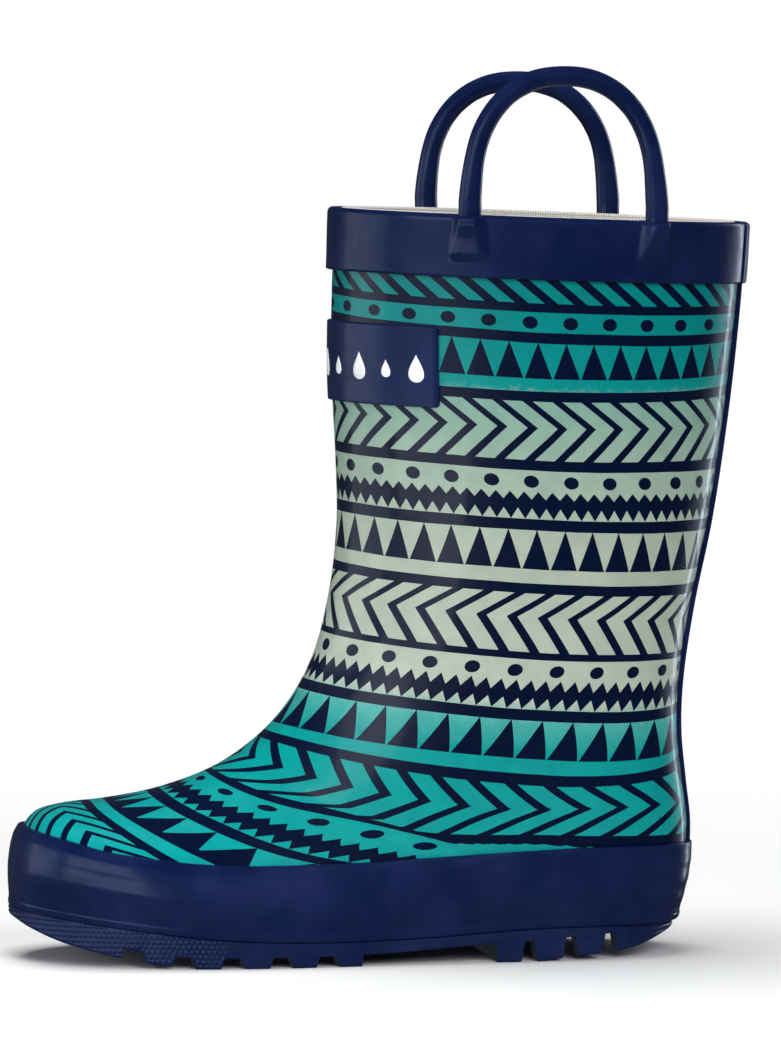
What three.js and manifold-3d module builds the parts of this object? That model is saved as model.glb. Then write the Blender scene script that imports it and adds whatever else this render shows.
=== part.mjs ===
// A child's rubber rain boot for the left foot, with two carrying handles at its rim.
//
// Millimetres, +Z up. The toe points to -X, the outer side of the foot to -Y. The origin is on
// the ground, under the middle of the boot's length and width.
//
// Every layer of the boot follows one surface: the outer face of the printed rubber upper. That
// surface is a fan of girths. Each girth is a plane section that starts on the front line (shin,
// instep, toe) and ends on the back line or, past the heel, on the feather edge, where the upper
// meets the sole. Sheets laid on it, such as the band and the lining, are offsets of it.

import * as THREE from "three";
import { mergeVertices } from "three/addons/utils/BufferGeometryUtils.js";
import Module from "manifold-3d";

const wasm = await Module();
wasm.setup();
const { clamp, lerp, smoothstep } = THREE.MathUtils;

// ---------------------------------------------------------------- driving dimensions

const GAP = 0.3; // clearance between neighbouring solids

// Side view of the upper's outer face, as [x, z]: rim to toe, and rim to heel.
const FRONT_LINE = [
  [-12.5, 209], [-13.2, 186], [-13.4, 162], [-12.3, 140], [-12, 120], [-14.3, 101],
  [-20, 81], [-30, 65.5], [-44.5, 54], [-61, 47.5], [-77, 44.2], [-89, 42.8],
  [-96, 40.8], [-100, 36], [-101.6, 28], [-101.8, 15.5],
];
const BACK_LINE = [
  [102.5, 204.5], [100.6, 180], [97.5, 152], [93, 122], [88, 98], [84.6, 76],
  [84, 62], [85.2, 48], [86.4, 36], [85.6, 25], [82, 10.5],
];

// Half of the upper's plan outline at the feather edge, heel to toe, as [x, half width].
const FEATHER_OUTLINE = [
  [82, 0], [79.8, 11], [73, 20], [60, 25], [40, 27], [15, 28.5],
  [-10, 31.5], [-34, 34.6], [-56, 34.4], [-76, 29.8], [-91, 21], [-99, 11], [-101.8, 0],
];

// The fan of girths, as [share of the front line, share of the back line, half width]. Past 1 the
// second number runs along the feather edge, from 1 at the heel to 2 at the toe.
const GIRTHS = [
  [0, 0, 40], [0.2, 0.25, 38.5], [0.395, 0.52, 35.4], [0.49, 0.645, 33.7], [0.58, 0.79, 32.2],
  [0.63, 0.9, 31.8], [0.67, 1, 31.5], [0.69, 1.08, 30.1], [0.717, 1.2, 24.6],
  [0.75, 1.33, 22.8], [0.785, 1.46, 20],
  [0.82, 1.59, 17.5], [0.86, 1.7, 16], [0.9, 1.8, 13], [0.95, 1.91, 7.5], [1, 2, 0],
];
const HEEL_GIRTH = 6 / (GIRTHS.length - 1); // where the girths leave the back line
const FAN_ROWS = 2 * (GIRTHS.length - 1);
const FAN_COLUMNS = 28;
const TOE_SWING = 4.5; // how far the toe swings towards the inner side of the foot

// Layers of the upper.
const UPPER_THICKNESS = 1.6;
const LINING_THICKNESS = 0.9;
const STIFFENER_THICKNESS = 0.8;
const BAND_THICKNESS = 1.6;
const BAND_HEIGHT = 17;
const STRIP_WIDTH = 11;
const STRIP_THICKNESS = 1.1;
const PATCH = { top: 178, bottom: 155.5, arc: 43, thickness: 0.9 };

// Height lines along the boot, as [x, z].
const FOXING_TOP = [
  [-104, 38], [-92, 35.5], [-78, 32], [-50, 28.6], [-20, 28.4], [20, 30.4], [55, 31.8], [89, 31.2],
];
const FOXING_BOTTOM = [[-104, 14.6], [-78, 11.2], [-50, 8], [-20, 6.8], [10, 7.4], [44, 9.2], [89, 9]];
const FEATHER_RISE = 1.2; // the upper's lower edge, above the foxing's
const FOXING_SECTION = [
  [1.2, 0], [2.2, 0.07], [2.8, 0.22], [2.8, 0.42], [2.3, 0.66], [2, 0.86], [1.7, 0.97], [1.2, 1],
]; // [offset from the upper, share of the height], bottom to top

// The outsole.
const SOLE_REACH = 2; // past the upper, at the toe and sides
const SOLE_REACH_HEEL = 0.2;
const TREAD_LINE = [
  [-106, 13.8], [-100, 9.8], [-92, 6.5], [-82, 3.9], [-73, 2.1], [-64, 0.8], [-55, 0],
  [-45, 0], [30, 0], [38, 0], [50, 1], [60, 2], [68, 3], [73, 4.4], [78, 6], [84, 7.4], [92, 8],
]; // underside of the lugs, as [x, z]
const BASE_LINE = [
  [-79, 6], [-73, 4.9], [-60, 3.2], [-45, 2.9], [-10, 3.1], [28, 5.2], [44, 6.2], [60, 7.2], [70, 7.8],
]; // underside of the sole between the lugs, as [x, z]
const SHANK = { start: -9.9, end: 28.3 }; // where the tread has no lugs
const LUG_DEPTH = 8; // of the lugs that stand round the edge, measured inwards
const NOTCHES = [-73.3, -59.8, -46.4, -32.8, -19.8]; // centres of the gaps between them
const NOTCH_WIDTH = { bottom: 6.8, top: 5.2 };
const HEEL_NOTCHES = [37.6, 49.4, 60.8];
const HEEL_NOTCH_WIDTH = { bottom: 4.8, top: 2.4 };
const RIB_PLACES = [-66, -53, -40, -27, 40, 52]; // in the hollow
const RIBS = { xs: RIB_PLACES, reach: 15, width: 3.6, height: 1.2, rake: 6 };

// What lies on the outsole, inside the boot.
const FILLER_THICKNESS = 1.8;
const HEEL_FILLER_THICKNESS = 3.2;
const BOARD_THICKNESS = 1.4;
const FOOTBED_THICKNESS = 4;
const COVER_THICKNESS = 0.7;
const FILLER_SPLIT = 24; // x where the forefoot filler meets the heel filler

// The handles.
const HANDLE_RADIUS = 2.85;
const HANDLE_CENTRE = 45.4; // x
const HANDLE_HALF_SPAN = 25.6;
const HANDLE_ARCH_BASE = 215; // z where the legs turn into the arch
const HANDLE_SQUARENESS = 0.9; // 1 would make the arch a half ellipse
const HANDLE_ARCH_RISE = { outer: 31.2, inner: 29 };
const HANDLE_STANDOFF = 2; // from the upper's face to the rod's axis
const HINGE_RISE = 4.6; // of the bending point above the rim
const NECK_DROP = 1.7; // from the bending point down to the top of the anchor's neck
const TAB = { halfWidth: 4.6, length: 12, thickness: 1.4 };

const COLOURS = {
  navy: 0x1b2a63,
  print: 0x1ba79d,
  cloth: 0xcfc9bd,
  board: 0xb89b72,
  foam: 0x8a8f94,
  filler: 0x4b4b50,
};

// ---------------------------------------------------------------- curves

const sideCurve = (points, closed = false) => {
  const curve = new THREE.CatmullRomCurve3(
    points.map(([x, z]) => new THREE.Vector3(x, 0, z)), closed, "centripetal");
  curve.arcLengthDivisions = 600;
  return curve;
};
const frontCurve = sideCurve(FRONT_LINE);
const backCurve = sideCurve(BACK_LINE);
const mirroredSide = FEATHER_OUTLINE.slice(1, -1).reverse().map(([x, w]) => [x, -w]);
const featherCurve = sideCurve([...FEATHER_OUTLINE, ...mirroredSide], true);
const girthPoints = GIRTHS.map((g) => new THREE.Vector3(...g));
const girthCurve = new THREE.CatmullRomCurve3(girthPoints, false, "catmullrom", 0.5);

// A smooth height line through [x, value] points in ascending x.
function lineThrough(points) {
  const slopes = points.map((_, i) => {
    const a = points[Math.max(i - 1, 0)];
    const b = points[Math.min(i + 1, points.length - 1)];
    return (b[1] - a[1]) / (b[0] - a[0]);
  });
  return (x) => {
    let i = 0;
    while (i < points.length - 2 && x > points[i + 1][0]) i++;
    const width = points[i + 1][0] - points[i][0];
    const u = clamp((x - points[i][0]) / width, 0, 1);
    const rise = points[i + 1][1] - points[i][1];
    const bend = slopes[i] * width * u * (1 - u) ** 2 - slopes[i + 1] * width * u * u * (1 - u);
    return points[i][1] + rise * u * u * (3 - 2 * u) + bend;
  };
}
const foxingTop = lineThrough(FOXING_TOP);
const foxingBottom = lineThrough(FOXING_BOTTOM);
const featherHeight = (x) => foxingBottom(x) + FEATHER_RISE;
const toeSwing = (x) => TOE_SWING * smoothstep(-x, -10, 105);

// ---------------------------------------------------------------- the upper's surface

const power = (value, exponent) => Math.sign(value) * Math.abs(value) ** exponent;
const SECTION_STEPS = 64;

// One girth of the fan: a superellipse from the front line, cut off where it meets the feather.
function makeGirth(s) {
  const { x: frontShare, y: backShare, z: width } = girthCurve.getPoint(s);
  const front = frontCurve.getPointAt(clamp(frontShare, 0, 1));
  const onFeather = backShare > 1 + 1e-6;
  const edge = featherCurve.getPointAt(clamp(backShare - 1, 0, 1) / 2);
  const back = onFeather
    ? new THREE.Vector3(edge.x, 0, featherHeight(edge.x))
    : backCurve.getPointAt(clamp(backShare, 0, 1));
  const sill = onFeather ? Math.max(edge.z, 0) : 0;
  const half = Math.max(Math.cbrt(Math.max(width, 0) ** 3 + sill ** 3), 1e-6);
  const bluntFront = 2 + 0.4 * smoothstep(backShare, 0.6, 1.1);
  const bluntBack = 2 + 0.9 * smoothstep(backShare, 0.55, 1) - 0.4 * smoothstep(backShare, 1.1, 1.6);
  const cut = (1 - Math.min(sill / half, 1) ** bluntBack) ** (1 / bluntBack);
  const along = front.distanceTo(back) / (1 + cut);
  const end = Math.PI - Math.acos(Math.min(cut ** (bluntBack / 2), 1));
  return { front, back, half, along, bluntFront, bluntBack, onFeather, end };
}

const girthStore = new Map();
function girthAt(s) {
  const key = s.toFixed(7);
  if (girthStore.has(key)) return girthStore.get(key);
  const girth = makeGirth(s);
  const chord = girth.back.clone().sub(girth.front).normalize();
  const points = [];
  const lengths = [0];
  for (let i = 0; i <= SECTION_STEPS; i++) {
    const angle = (girth.end * i) / SECTION_STEPS;
    const exponent = 2 / (angle < Math.PI / 2 ? girth.bluntFront : girth.bluntBack);
    const reach = girth.along * (1 - power(Math.cos(angle), exponent));
    const point = girth.front.clone().addScaledVector(chord, reach);
    point.y = girth.half * power(Math.sin(angle), exponent);
    if (i) lengths.push(lengths[i - 1] + point.distanceTo(points[i - 1]));
    points.push(point);
  }
  if (!girth.onFeather) points[SECTION_STEPS].y = 0;
  Object.assign(girth, { points, lengths, length: lengths[SECTION_STEPS] });
  girthStore.set(key, girth);
  return girth;
}

// The point at share u of a girth's half length, from 0 on the front line to 1 at its end.
function girthPoint(s, u) {
  const { points, lengths, length } = girthAt(s);
  const target = clamp(u, 0, 1) * length;
  let i = 1;
  while (i < SECTION_STEPS && lengths[i] < target) i++;
  const span = lengths[i] - lengths[i - 1];
  return points[i - 1].clone().lerp(points[i], span > 0 ? (target - lengths[i - 1]) / span : 0);
}

// The outward normal. Round the heel's lower edge, where the girths run along the edge, it is
// drawn towards the radius of the heel.
const FAN_STEP = 2e-3;
const HEEL_CENTRE = 56;
function outwardNormal(s, u) {
  if (s > 1 - 1e-6) return new THREE.Vector3(-1, 0, 0);
  const s0 = Math.max(s - FAN_STEP, 0);
  const s1 = Math.min(s + FAN_STEP, 1 - 1e-4);
  const u0 = Math.max(u - 0.02, 0);
  const u1 = Math.min(u + 0.02, 1);
  const down = girthPoint(s1, u).sub(girthPoint(s0, u));
  const round = girthPoint(s, u1).sub(girthPoint(s, u0));
  if (u === 0) round.set(0, 1, 0);
  if (u === 1 && !girthAt(s).onFeather) round.set(0, -1, 0);
  const normal = round.cross(down);
  const { front, back } = girthAt(s);
  const centre = front.clone().lerp(back, 0.5);
  if (normal.dot(girthPoint(s, u).sub(centre)) < 0) normal.negate();
  const onFeather = girthAt(s).onFeather;
  if (u === 0 || (u === 1 && !onFeather)) normal.y = 0;
  if (onFeather) normal.z *= 1 - smoothstep(u, 0.8, 1); // layers stand upright at the feather edge
  const here = girthPoint(s, u);
  const radius = new THREE.Vector3(here.x - HEEL_CENTRE, here.y, 0).normalize();
  const share = smoothstep(here.x, HEEL_CENTRE + 2, HEEL_CENTRE + 14) * (1 - smoothstep(here.z, 16, 30));
  return normal.normalize().lerp(radius, share).normalize();
}

// The surface: s runs down the fan, t round it with 0 at the front and 1 or -1 at the end of the
// girth, d is the offset. A t past 1 goes on round the back.
function surface(s, turn, d = 0) {
  const t = turn > 1 ? turn - 2 : turn;
  const u = Math.abs(t);
  const point = girthPoint(s, u).addScaledVector(outwardNormal(s, u), d);
  if (t < 0) point.y = -point.y;
  point.y += toeSwing(point.x);
  return point;
}

// The half width of the upper's outer face at a point (x, z) of the side view.
function halfWidth(x, z) {
  let low = 0;
  let high = 1 - 1e-5;
  for (let i = 0; i < 36; i++) {
    const s = (low + high) / 2;
    const { front, back } = girthAt(s);
    const side = (back.x - front.x) * (z - front.z) - (back.z - front.z) * (x - front.x);
    if (side < 0) low = s;
    else high = s;
  }
  const { front, back, along, half, bluntFront, bluntBack } = girthAt((low + high) / 2);
  const chord = back.clone().sub(front);
  const reach = ((x - front.x) * chord.x + (z - front.z) * chord.z) / chord.length();
  const blunt = reach < along ? bluntFront : bluntBack;
  return half * Math.max(1 - Math.abs(1 - reach / along) ** blunt, 0) ** (1 / blunt);
}

// ---------------------------------------------------------------- meshes

// A closed geometry from points and triangles, with equal points merged, empty triangles dropped
// and every face turned outwards.
function closedGeometry(points, triangles) {
  const index = new Map();
  const position = [];
  const merged = points.map((p) => {
    const key = [p.x, p.y, p.z].map((v) => Math.round(v * 2000)).join();
    if (!index.has(key)) {
      index.set(key, position.length / 3);
      position.push(p.x, p.y, p.z);
    }
    return index.get(key);
  });
  const faces = triangles
    .map((triangle) => triangle.map((i) => merged[i]))
    .filter(([a, b, c]) => a !== b && b !== c && c !== a);
  const corner = (i) => new THREE.Vector3().fromArray(position, 3 * i);
  const volume = faces.reduce((sum, [a, b, c]) => sum + corner(a).dot(corner(b).cross(corner(c))), 0);
  const geometry = new THREE.BufferGeometry();
  geometry.setAttribute("position", new THREE.Float32BufferAttribute(position, 3));
  geometry.setIndex(faces.flatMap(([a, b, c]) => (volume > 0 ? [a, b, c] : [a, c, b])));
  return geometry;
}

const quad = (a, b, c, d) => [[a, b, c], [a, c, d]];

// A solid between two offsets of the surface, over a stretch of the fan. Offsets are numbers or
// functions of (s, t), and the sides are numbers or functions of s. A sheet that goes all the way
// round closes on itself at the back line, and is open along the feather edge.
function sheet({ from, to, left = -1, right = 1, inner, outer, rows = FAN_ROWS, columns = FAN_COLUMNS }) {
  const valueOf = (value, ...at) => (typeof value === "function" ? value(...at) : value);
  const wholeRound = left === -1 && right === 1;
  const stations = fanStations(from, to, rows);
  const points = [];
  for (const offset of [outer, inner]) {
    for (const s of stations) {
      for (let j = 0; j <= columns; j++) {
        const t = lerp(valueOf(left, s), valueOf(right, s), j / columns);
        points.push(surface(s, t, valueOf(offset, s, t)));
      }
    }
  }
  const isOpen = (i) => !wholeRound || stations[i] > HEEL_GIRTH - 1e-6;
  return closedGeometry(points, slabTriangles(stations.length, columns + 1, isOpen));
}

// The triangles between two layers of rows x columns points, and round their edges. The quads are
// split the same way on both layers, and mirrored left and right. Rows for which isOpen(row) is
// false get no wall at the ends of the row.
function slabTriangles(rows, columns, isOpen = () => true) {
  const at = (layer, i, j) => (layer * rows + i) * columns + j;
  const triangles = [];
  for (let i = 0; i < rows - 1; i++) {
    for (let j = 0; j < columns - 1; j++) {
      for (const layer of [0, 1]) {
        const ring = [at(layer, i, j), at(layer, i + 1, j), at(layer, i + 1, j + 1), at(layer, i, j + 1)];
        if (j < (columns - 1) / 2) ring.push(ring.shift());
        const [a, b, c, d] = ring;
        triangles.push(...(layer === 0 ? quad(a, b, c, d) : quad(a, d, c, b)));
      }
    }
    if (!isOpen(i)) continue;
    const end = columns - 1;
    triangles.push(...quad(at(0, i, 0), at(1, i, 0), at(1, i + 1, 0), at(0, i + 1, 0)));
    triangles.push(...quad(at(0, i, end), at(0, i + 1, end), at(1, i + 1, end), at(1, i, end)));
  }
  for (let j = 0; j < columns - 1; j++) {
    const last = rows - 1;
    triangles.push(...quad(at(0, 0, j), at(0, 0, j + 1), at(1, 0, j + 1), at(1, 0, j)));
    triangles.push(...quad(at(0, last, j), at(1, last, j), at(1, last, j + 1), at(0, last, j + 1)));
  }
  return triangles;
}

// Stations from one end of a stretch of the fan to the other, with one at the heel girth.
function fanStations(from, to, rows) {
  const stations = Array.from({ length: rows + 1 }, (_, i) => lerp(from, to, i / rows));
  if (from >= HEEL_GIRTH || to <= HEEL_GIRTH) return stations;
  const misses = stations.map((s) => Math.abs(s - HEEL_GIRTH));
  stations[misses.indexOf(Math.min(...misses))] = HEEL_GIRTH;
  return stations;
}

// A closed plan loop round the upper's outer face, at the height line heightOf(x), as columns of
// {x, y, z, nx, ny}, with (nx, ny) the outward plan normal. It starts at the toe.
function wallLoop(heightOf, columns) {
  const onWall = (x) => Math.max(heightOf(x), featherHeight(x) + 0.05);
  const ends = [frontCurve, backCurve].map((curve) => endOnCurve(curve, onWall));
  const middle = (ends[0] + ends[1]) / 2;
  const reach = (ends[1] - ends[0]) / 2;
  const half = columns / 2;
  const side = Array.from({ length: half + 1 }, (_, i) => {
    const x = middle - reach * Math.cos((Math.PI * i) / half);
    const y = i === 0 || i === half ? 0 : halfWidth(x, onWall(x));
    return { x, y, z: heightOf(x) };
  });
  const loop = [...side, ...side.slice(1, -1).reverse().map((p) => ({ ...p, y: -p.y }))];
  return loop.map((p, i) => {
    const a = loop[(i + loop.length - 1) % loop.length];
    const b = loop[(i + 1) % loop.length];
    const length = Math.hypot(b.x - a.x, b.y - a.y);
    return { ...p, nx: -(b.y - a.y) / length, ny: (b.x - a.x) / length };
  });
}

// Where a side curve's lower end crosses a height line, as x.
function endOnCurve(curve, heightOf) {
  let low = 0;
  let high = 1;
  for (let i = 0; i < 40; i++) {
    const share = (low + high) / 2;
    const p = curve.getPointAt(share);
    if (p.z > heightOf(p.x)) low = share;
    else high = share;
  }
  return curve.getPointAt(high).x;
}

const offsetPoint = (p, d) => {
  const x = p.x + p.nx * d;
  return new THREE.Vector3(x, p.y + p.ny * d + toeSwing(x), p.z);
};

// A closed ring with the section [[offset, share of the height], ...] swept round the wall.
function wallRing(section, bottom, top, columns) {
  const loops = section.map(([offset, share]) =>
    wallLoop((x) => lerp(bottom(x), top(x), share), columns).map((p) => offsetPoint(p, offset)));
  const points = loops.flat();
  const at = (k, i) => (k % section.length) * columns + (i % columns);
  const triangles = [];
  for (let k = 0; k < section.length; k++) {
    for (let i = 0; i < columns; i++) {
      triangles.push(...quad(at(k, i), at(k + 1, i), at(k + 1, i + 1), at(k, i + 1)));
    }
  }
  return closedGeometry(points, triangles);
}

// A plate that fills the boot's plan outline, inset from the upper's outer face, between two
// heights given as functions of (x, y). It can stop at x limits.
function plate({ level, inset, bottom, top, rows, columns, from = -Infinity, to = Infinity }) {
  const half = wallLoop(level, rows * 2).slice(0, rows + 1);
  const stations = half
    .map((p) => ({ x: p.x - p.nx * inset, width: Math.max(p.y - p.ny * inset, 0) }))
    .filter((p) => p.x > from && p.x < to);
  const points = [];
  for (const heightOf of [top, bottom]) {
    for (const { x, width } of stations) {
      for (let j = 0; j <= columns; j++) {
        const y = ((2 * j) / columns - 1) * width;
        points.push(new THREE.Vector3(x, y + toeSwing(x), heightOf(x, y)));
      }
    }
  }
  return closedGeometry(points, slabTriangles(stations.length, columns + 1));
}

// ---------------------------------------------------------------- booleans

function toSolid(geometry) {
  const bare = geometry.clone();
  bare.deleteAttribute("normal");
  bare.deleteAttribute("uv");
  const merged = mergeVertices(bare, 1e-4);
  return new wasm.Manifold(new wasm.Mesh({
    numProp: 3,
    vertProperties: new Float32Array(merged.attributes.position.array),
    triVerts: new Uint32Array(merged.index.array),
  }));
}

const largestBody = (solid) => solid.decompose().sort((a, b) => b.volume() - a.volume())[0];

function toGeometry(solid) {
  const mesh = solid.getMesh();
  const geometry = new THREE.BufferGeometry();
  geometry.setAttribute("position", new THREE.BufferAttribute(new Float32Array(mesh.vertProperties), 3));
  geometry.setIndex(new THREE.BufferAttribute(new Uint32Array(mesh.triVerts), 1));
  return geometry;
}

// ---------------------------------------------------------------- the upper and its layers

const station = (row) => row / FAN_ROWS; // a share of the fan, on the upper's own grid
const column = (j) => (2 * j) / FAN_COLUMNS; // a turn round the girth, on the same grid

// The share of a girth's half length that a length along it makes.
const shareOfArc = (s, arc) => arc / girthAt(s).length;

// The share of the fan whose girth has one end, "front" or "back", at a height.
function fanAt(end, height) {
  let low = 0;
  let high = HEEL_GIRTH;
  for (let i = 0; i < 40; i++) {
    const s = (low + high) / 2;
    if (girthAt(s)[end].z > height) low = s;
    else high = s;
  }
  return low;
}
const belowRim = (height) => fanAt("front", FRONT_LINE[0][1] - height);

// The toe reinforcement and the heel counter stand between the upper and the lining.
const TOE_CAP_ROW = 22;
const COUNTER = { topRow: 8, bottomRow: 11, side: 10 };
const pocketDepth = STIFFENER_THICKNESS + GAP;

// How far the lining stands in to make room for them.
function pocket(s, turn) {
  const toe = smoothstep(s, station(TOE_CAP_ROW - 1.6), station(TOE_CAP_ROW - 0.6));
  const round = smoothstep(Math.abs(turn), column(COUNTER.side - 2), column(COUNTER.side - 1));
  const above = smoothstep(s, station(COUNTER.topRow - 2), station(COUNTER.topRow - 1));
  const below = 1 - smoothstep(s, station(COUNTER.bottomRow + 2), station(COUNTER.bottomRow + 3));
  return pocketDepth * Math.max(toe, round * above * below);
}
const underUpper = UPPER_THICKNESS + 1.5 * GAP;
const liningInset = underUpper + pocketDepth + LINING_THICKNESS; // at its deepest

const printedUpper = () => sheet({ from: 0, to: 1, inner: -UPPER_THICKNESS, outer: 0 });

const fabricLining = () => sheet({
  from: 0, to: 1,
  outer: (s, t) => -underUpper - pocket(s, t),
  inner: (s, t) => -underUpper - pocket(s, t) - LINING_THICKNESS,
});

const toeReinforcement = () => sheet({
  from: station(TOE_CAP_ROW), to: 1, rows: FAN_ROWS - TOE_CAP_ROW,
  outer: -underUpper, inner: -underUpper - STIFFENER_THICKNESS,
});

const heelCounter = () => sheet({
  from: station(COUNTER.topRow), to: station(COUNTER.bottomRow), rows: COUNTER.bottomRow - COUNTER.topRow,
  left: column(COUNTER.side), right: column(FAN_COLUMNS - COUNTER.side),
  columns: FAN_COLUMNS - 2 * COUNTER.side,
  outer: -underUpper, inner: -underUpper - STIFFENER_THICKNESS,
});

const backSeamStrip = () => sheet({
  from: belowRim(BAND_HEIGHT + GAP), to: fanAt("back", foxingTop(BACK_LINE.at(-3)[0]) + 0.8),
  left: (s) => 1 - shareOfArc(s, STRIP_WIDTH / 2), right: (s) => 1 + shareOfArc(s, STRIP_WIDTH / 2),
  inner: GAP, outer: GAP + STRIP_THICKNESS, rows: 18, columns: 4,
});

const frontLabelPatch = () => sheet({
  from: fanAt("front", PATCH.top), to: fanAt("front", PATCH.bottom),
  left: (s) => -shareOfArc(s, PATCH.arc), right: (s) => shareOfArc(s, PATCH.arc),
  inner: GAP, outer: GAP + PATCH.thickness, rows: 4, columns: 18,
});

// ---------------------------------------------------------------- handles and the top band

const handleFeet = [HANDLE_CENTRE - HANDLE_HALF_SPAN, HANDLE_CENTRE + HANDLE_HALF_SPAN];

// The point of the rim at x on one side (-1 outer, 1 inner), with its outward plan normal.
function rimAt(x, side) {
  let low = 0;
  let high = 1;
  for (let i = 0; i < 40; i++) {
    const t = (low + high) / 2;
    if (surface(0, t).x < x) low = t;
    else high = t;
  }
  const t = low * side;
  const point = surface(0, t);
  const normal = surface(0, t, 1).sub(point).setZ(0).normalize();
  return { t, point, normal };
}

// Where a handle bends: on the rod's axis, a little above the rim.
function hingePoint(x, side) {
  const { point, normal } = rimAt(x, side);
  return point.clone().addScaledVector(normal, HANDLE_STANDOFF).add(new THREE.Vector3(0, 0, HINGE_RISE));
}

function ballAt(centre, radius) {
  return new THREE.SphereGeometry(radius, 10, 8).translate(centre.x, centre.y, centre.z);
}

// The loop of a handle: a rod that rises from its two bending points and arches between them.
function handleLoop(side) {
  const rise = side < 0 ? HANDLE_ARCH_RISE.outer : HANDLE_ARCH_RISE.inner;
  const [front, back] = handleFeet.map((x) => hingePoint(x, side));
  const arch = Array.from({ length: 13 }, (_, i) => {
    const angle = (Math.PI * i) / 12;
    return new THREE.Vector3(
      HANDLE_CENTRE - HANDLE_HALF_SPAN * power(Math.cos(angle), HANDLE_SQUARENESS),
      lerp(front.y, back.y, i / 12),
      HANDLE_ARCH_BASE + rise * power(Math.max(Math.sin(angle), 0), HANDLE_SQUARENESS));
  });
  const path = new THREE.CatmullRomCurve3([front, ...arch, back]);
  const section = new THREE.Shape();
  section.absarc(0, 0, HANDLE_RADIUS, 0, 2 * Math.PI);
  const sweep = { steps: 30, curveSegments: 5, extrudePath: path, bevelEnabled: false };
  const rod = new THREE.ExtrudeGeometry(section, sweep);
  const solid = toSolid(rod)
    .add(toSolid(ballAt(front, HANDLE_RADIUS)))
    .add(toSolid(ballAt(back, HANDLE_RADIUS)));
  return toGeometry(solid);
}

// A flat block that stands on the rim's line between the upper and the band.
function tongue(x, side, grow) {
  const { point, normal } = rimAt(x, side);
  const below = 4;
  const above = 2;
  const block = new THREE.BoxGeometry(
    2 * (TAB.halfWidth + grow), TAB.thickness + 2 * grow, below + above + 2 * grow);
  block.translate(0, 0, (above - below) / 2);
  block.rotateZ(Math.atan2(-normal.x, normal.y));
  const centre = point.addScaledVector(normal, GAP + TAB.thickness / 2);
  return toSolid(block.translate(centre.x, centre.y, centre.z));
}

// A tab's sheet under the band, grown on every side by a margin.
function tabSheet(x, side, grow, inner, outer) {
  const { t } = rimAt(x, side);
  const reach = shareOfArc(0, TAB.halfWidth + grow);
  const to = belowRim(TAB.length + grow);
  const span = { from: 0, to, left: t - reach, right: t + reach };
  return toSolid(sheet({ ...span, inner, outer, rows: 3, columns: 5 }));
}

// The flattened end of a handle: a tab held under the top band, and the neck that carries the loop.
function handleAnchor(x, side) {
  const hinge = hingePoint(x, side);
  const height = HINGE_RISE - NECK_DROP - GAP;
  const neck = new THREE.CylinderGeometry(HANDLE_RADIUS, HANDLE_RADIUS + 0.5, height, 10)
    .rotateX(Math.PI / 2)
    .translate(hinge.x, hinge.y, hinge.z - NECK_DROP - height / 2);
  const socket = toSolid(ballAt(hinge, HANDLE_RADIUS + GAP));
  const solid = tabSheet(x, side, 0, GAP, GAP + TAB.thickness)
    .add(tongue(x, side, 0))
    .add(toSolid(neck))
    .subtract(socket);
  return toGeometry(largestBody(solid));
}

// The band round the rim, raised over the four tabs.
function topBand() {
  let band = toSolid(sheet({
    from: 0, to: belowRim(BAND_HEIGHT), inner: GAP, outer: GAP + BAND_THICKNESS, rows: 3, columns: 48 }));
  const overTab = 2 * GAP + TAB.thickness;
  for (const side of [-1, 1]) {
    for (const x of handleFeet) band = band.add(tabSheet(x, side, 1.8, GAP + 0.4, overTab + BAND_THICKNESS));
  }
  for (const side of [-1, 1]) {
    for (const x of handleFeet) {
      band = band.subtract(tabSheet(x, side, GAP, 0, overTab)).subtract(tongue(x, side, GAP + 0.1));
    }
  }
  return toGeometry(largestBody(band));
}

// ---------------------------------------------------------------- the sole

// The foxing is swept round the boot, then cut back to the upper's own facets.
function foxingBand() {
  const ring = wallRing([[-0.5, 0], ...FOXING_SECTION, [-0.5, 1]], foxingBottom, foxingTop, 48);
  const core = toSolid(sheet({ from: station(6), to: 1, inner: -3, outer: GAP, rows: FAN_ROWS - 6 }));
  return toGeometry(largestBody(toSolid(ring).subtract(core).subtract(core.translate([0, 0, -2 * GAP]))));
}

// A slab the width of the sole between two height lines, over a stretch of x.
function sideSlab(bottom, top, from, to, steps) {
  const shape = new THREE.Shape();
  shape.moveTo(from, bottom(from));
  const stop = (i) => lerp(from, to, i / steps);
  for (let i = 1; i <= steps; i++) shape.lineTo(stop(i), bottom(stop(i)));
  for (let i = steps; i >= 0; i--) shape.lineTo(stop(i), top(stop(i)));
  shape.closePath();
  const width = 110;
  const slab = new THREE.ExtrudeGeometry(shape, { depth: width, bevelEnabled: false, steps: 1 });
  return toSolid(slab.rotateX(Math.PI / 2).translate(0, width / 2, 0));
}

// An upright prism on the sole's plan outline, drawn in by an inset.
function solePrism(inset) {
  const plan = new THREE.Shape();
  wallLoop(featherHeight, 48).forEach((p, i) => {
    const q = offsetPoint(p, lerp(SOLE_REACH, SOLE_REACH_HEEL, smoothstep(p.x, 50, 80)) - inset);
    if (i) plan.lineTo(q.x, q.y);
    else plan.moveTo(q.x, q.y);
  });
  plan.closePath();
  const prism = new THREE.ExtrudeGeometry(plan, { depth: 30, bevelEnabled: false, steps: 1 });
  return toSolid(prism.translate(0, 0, -5));
}

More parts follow.
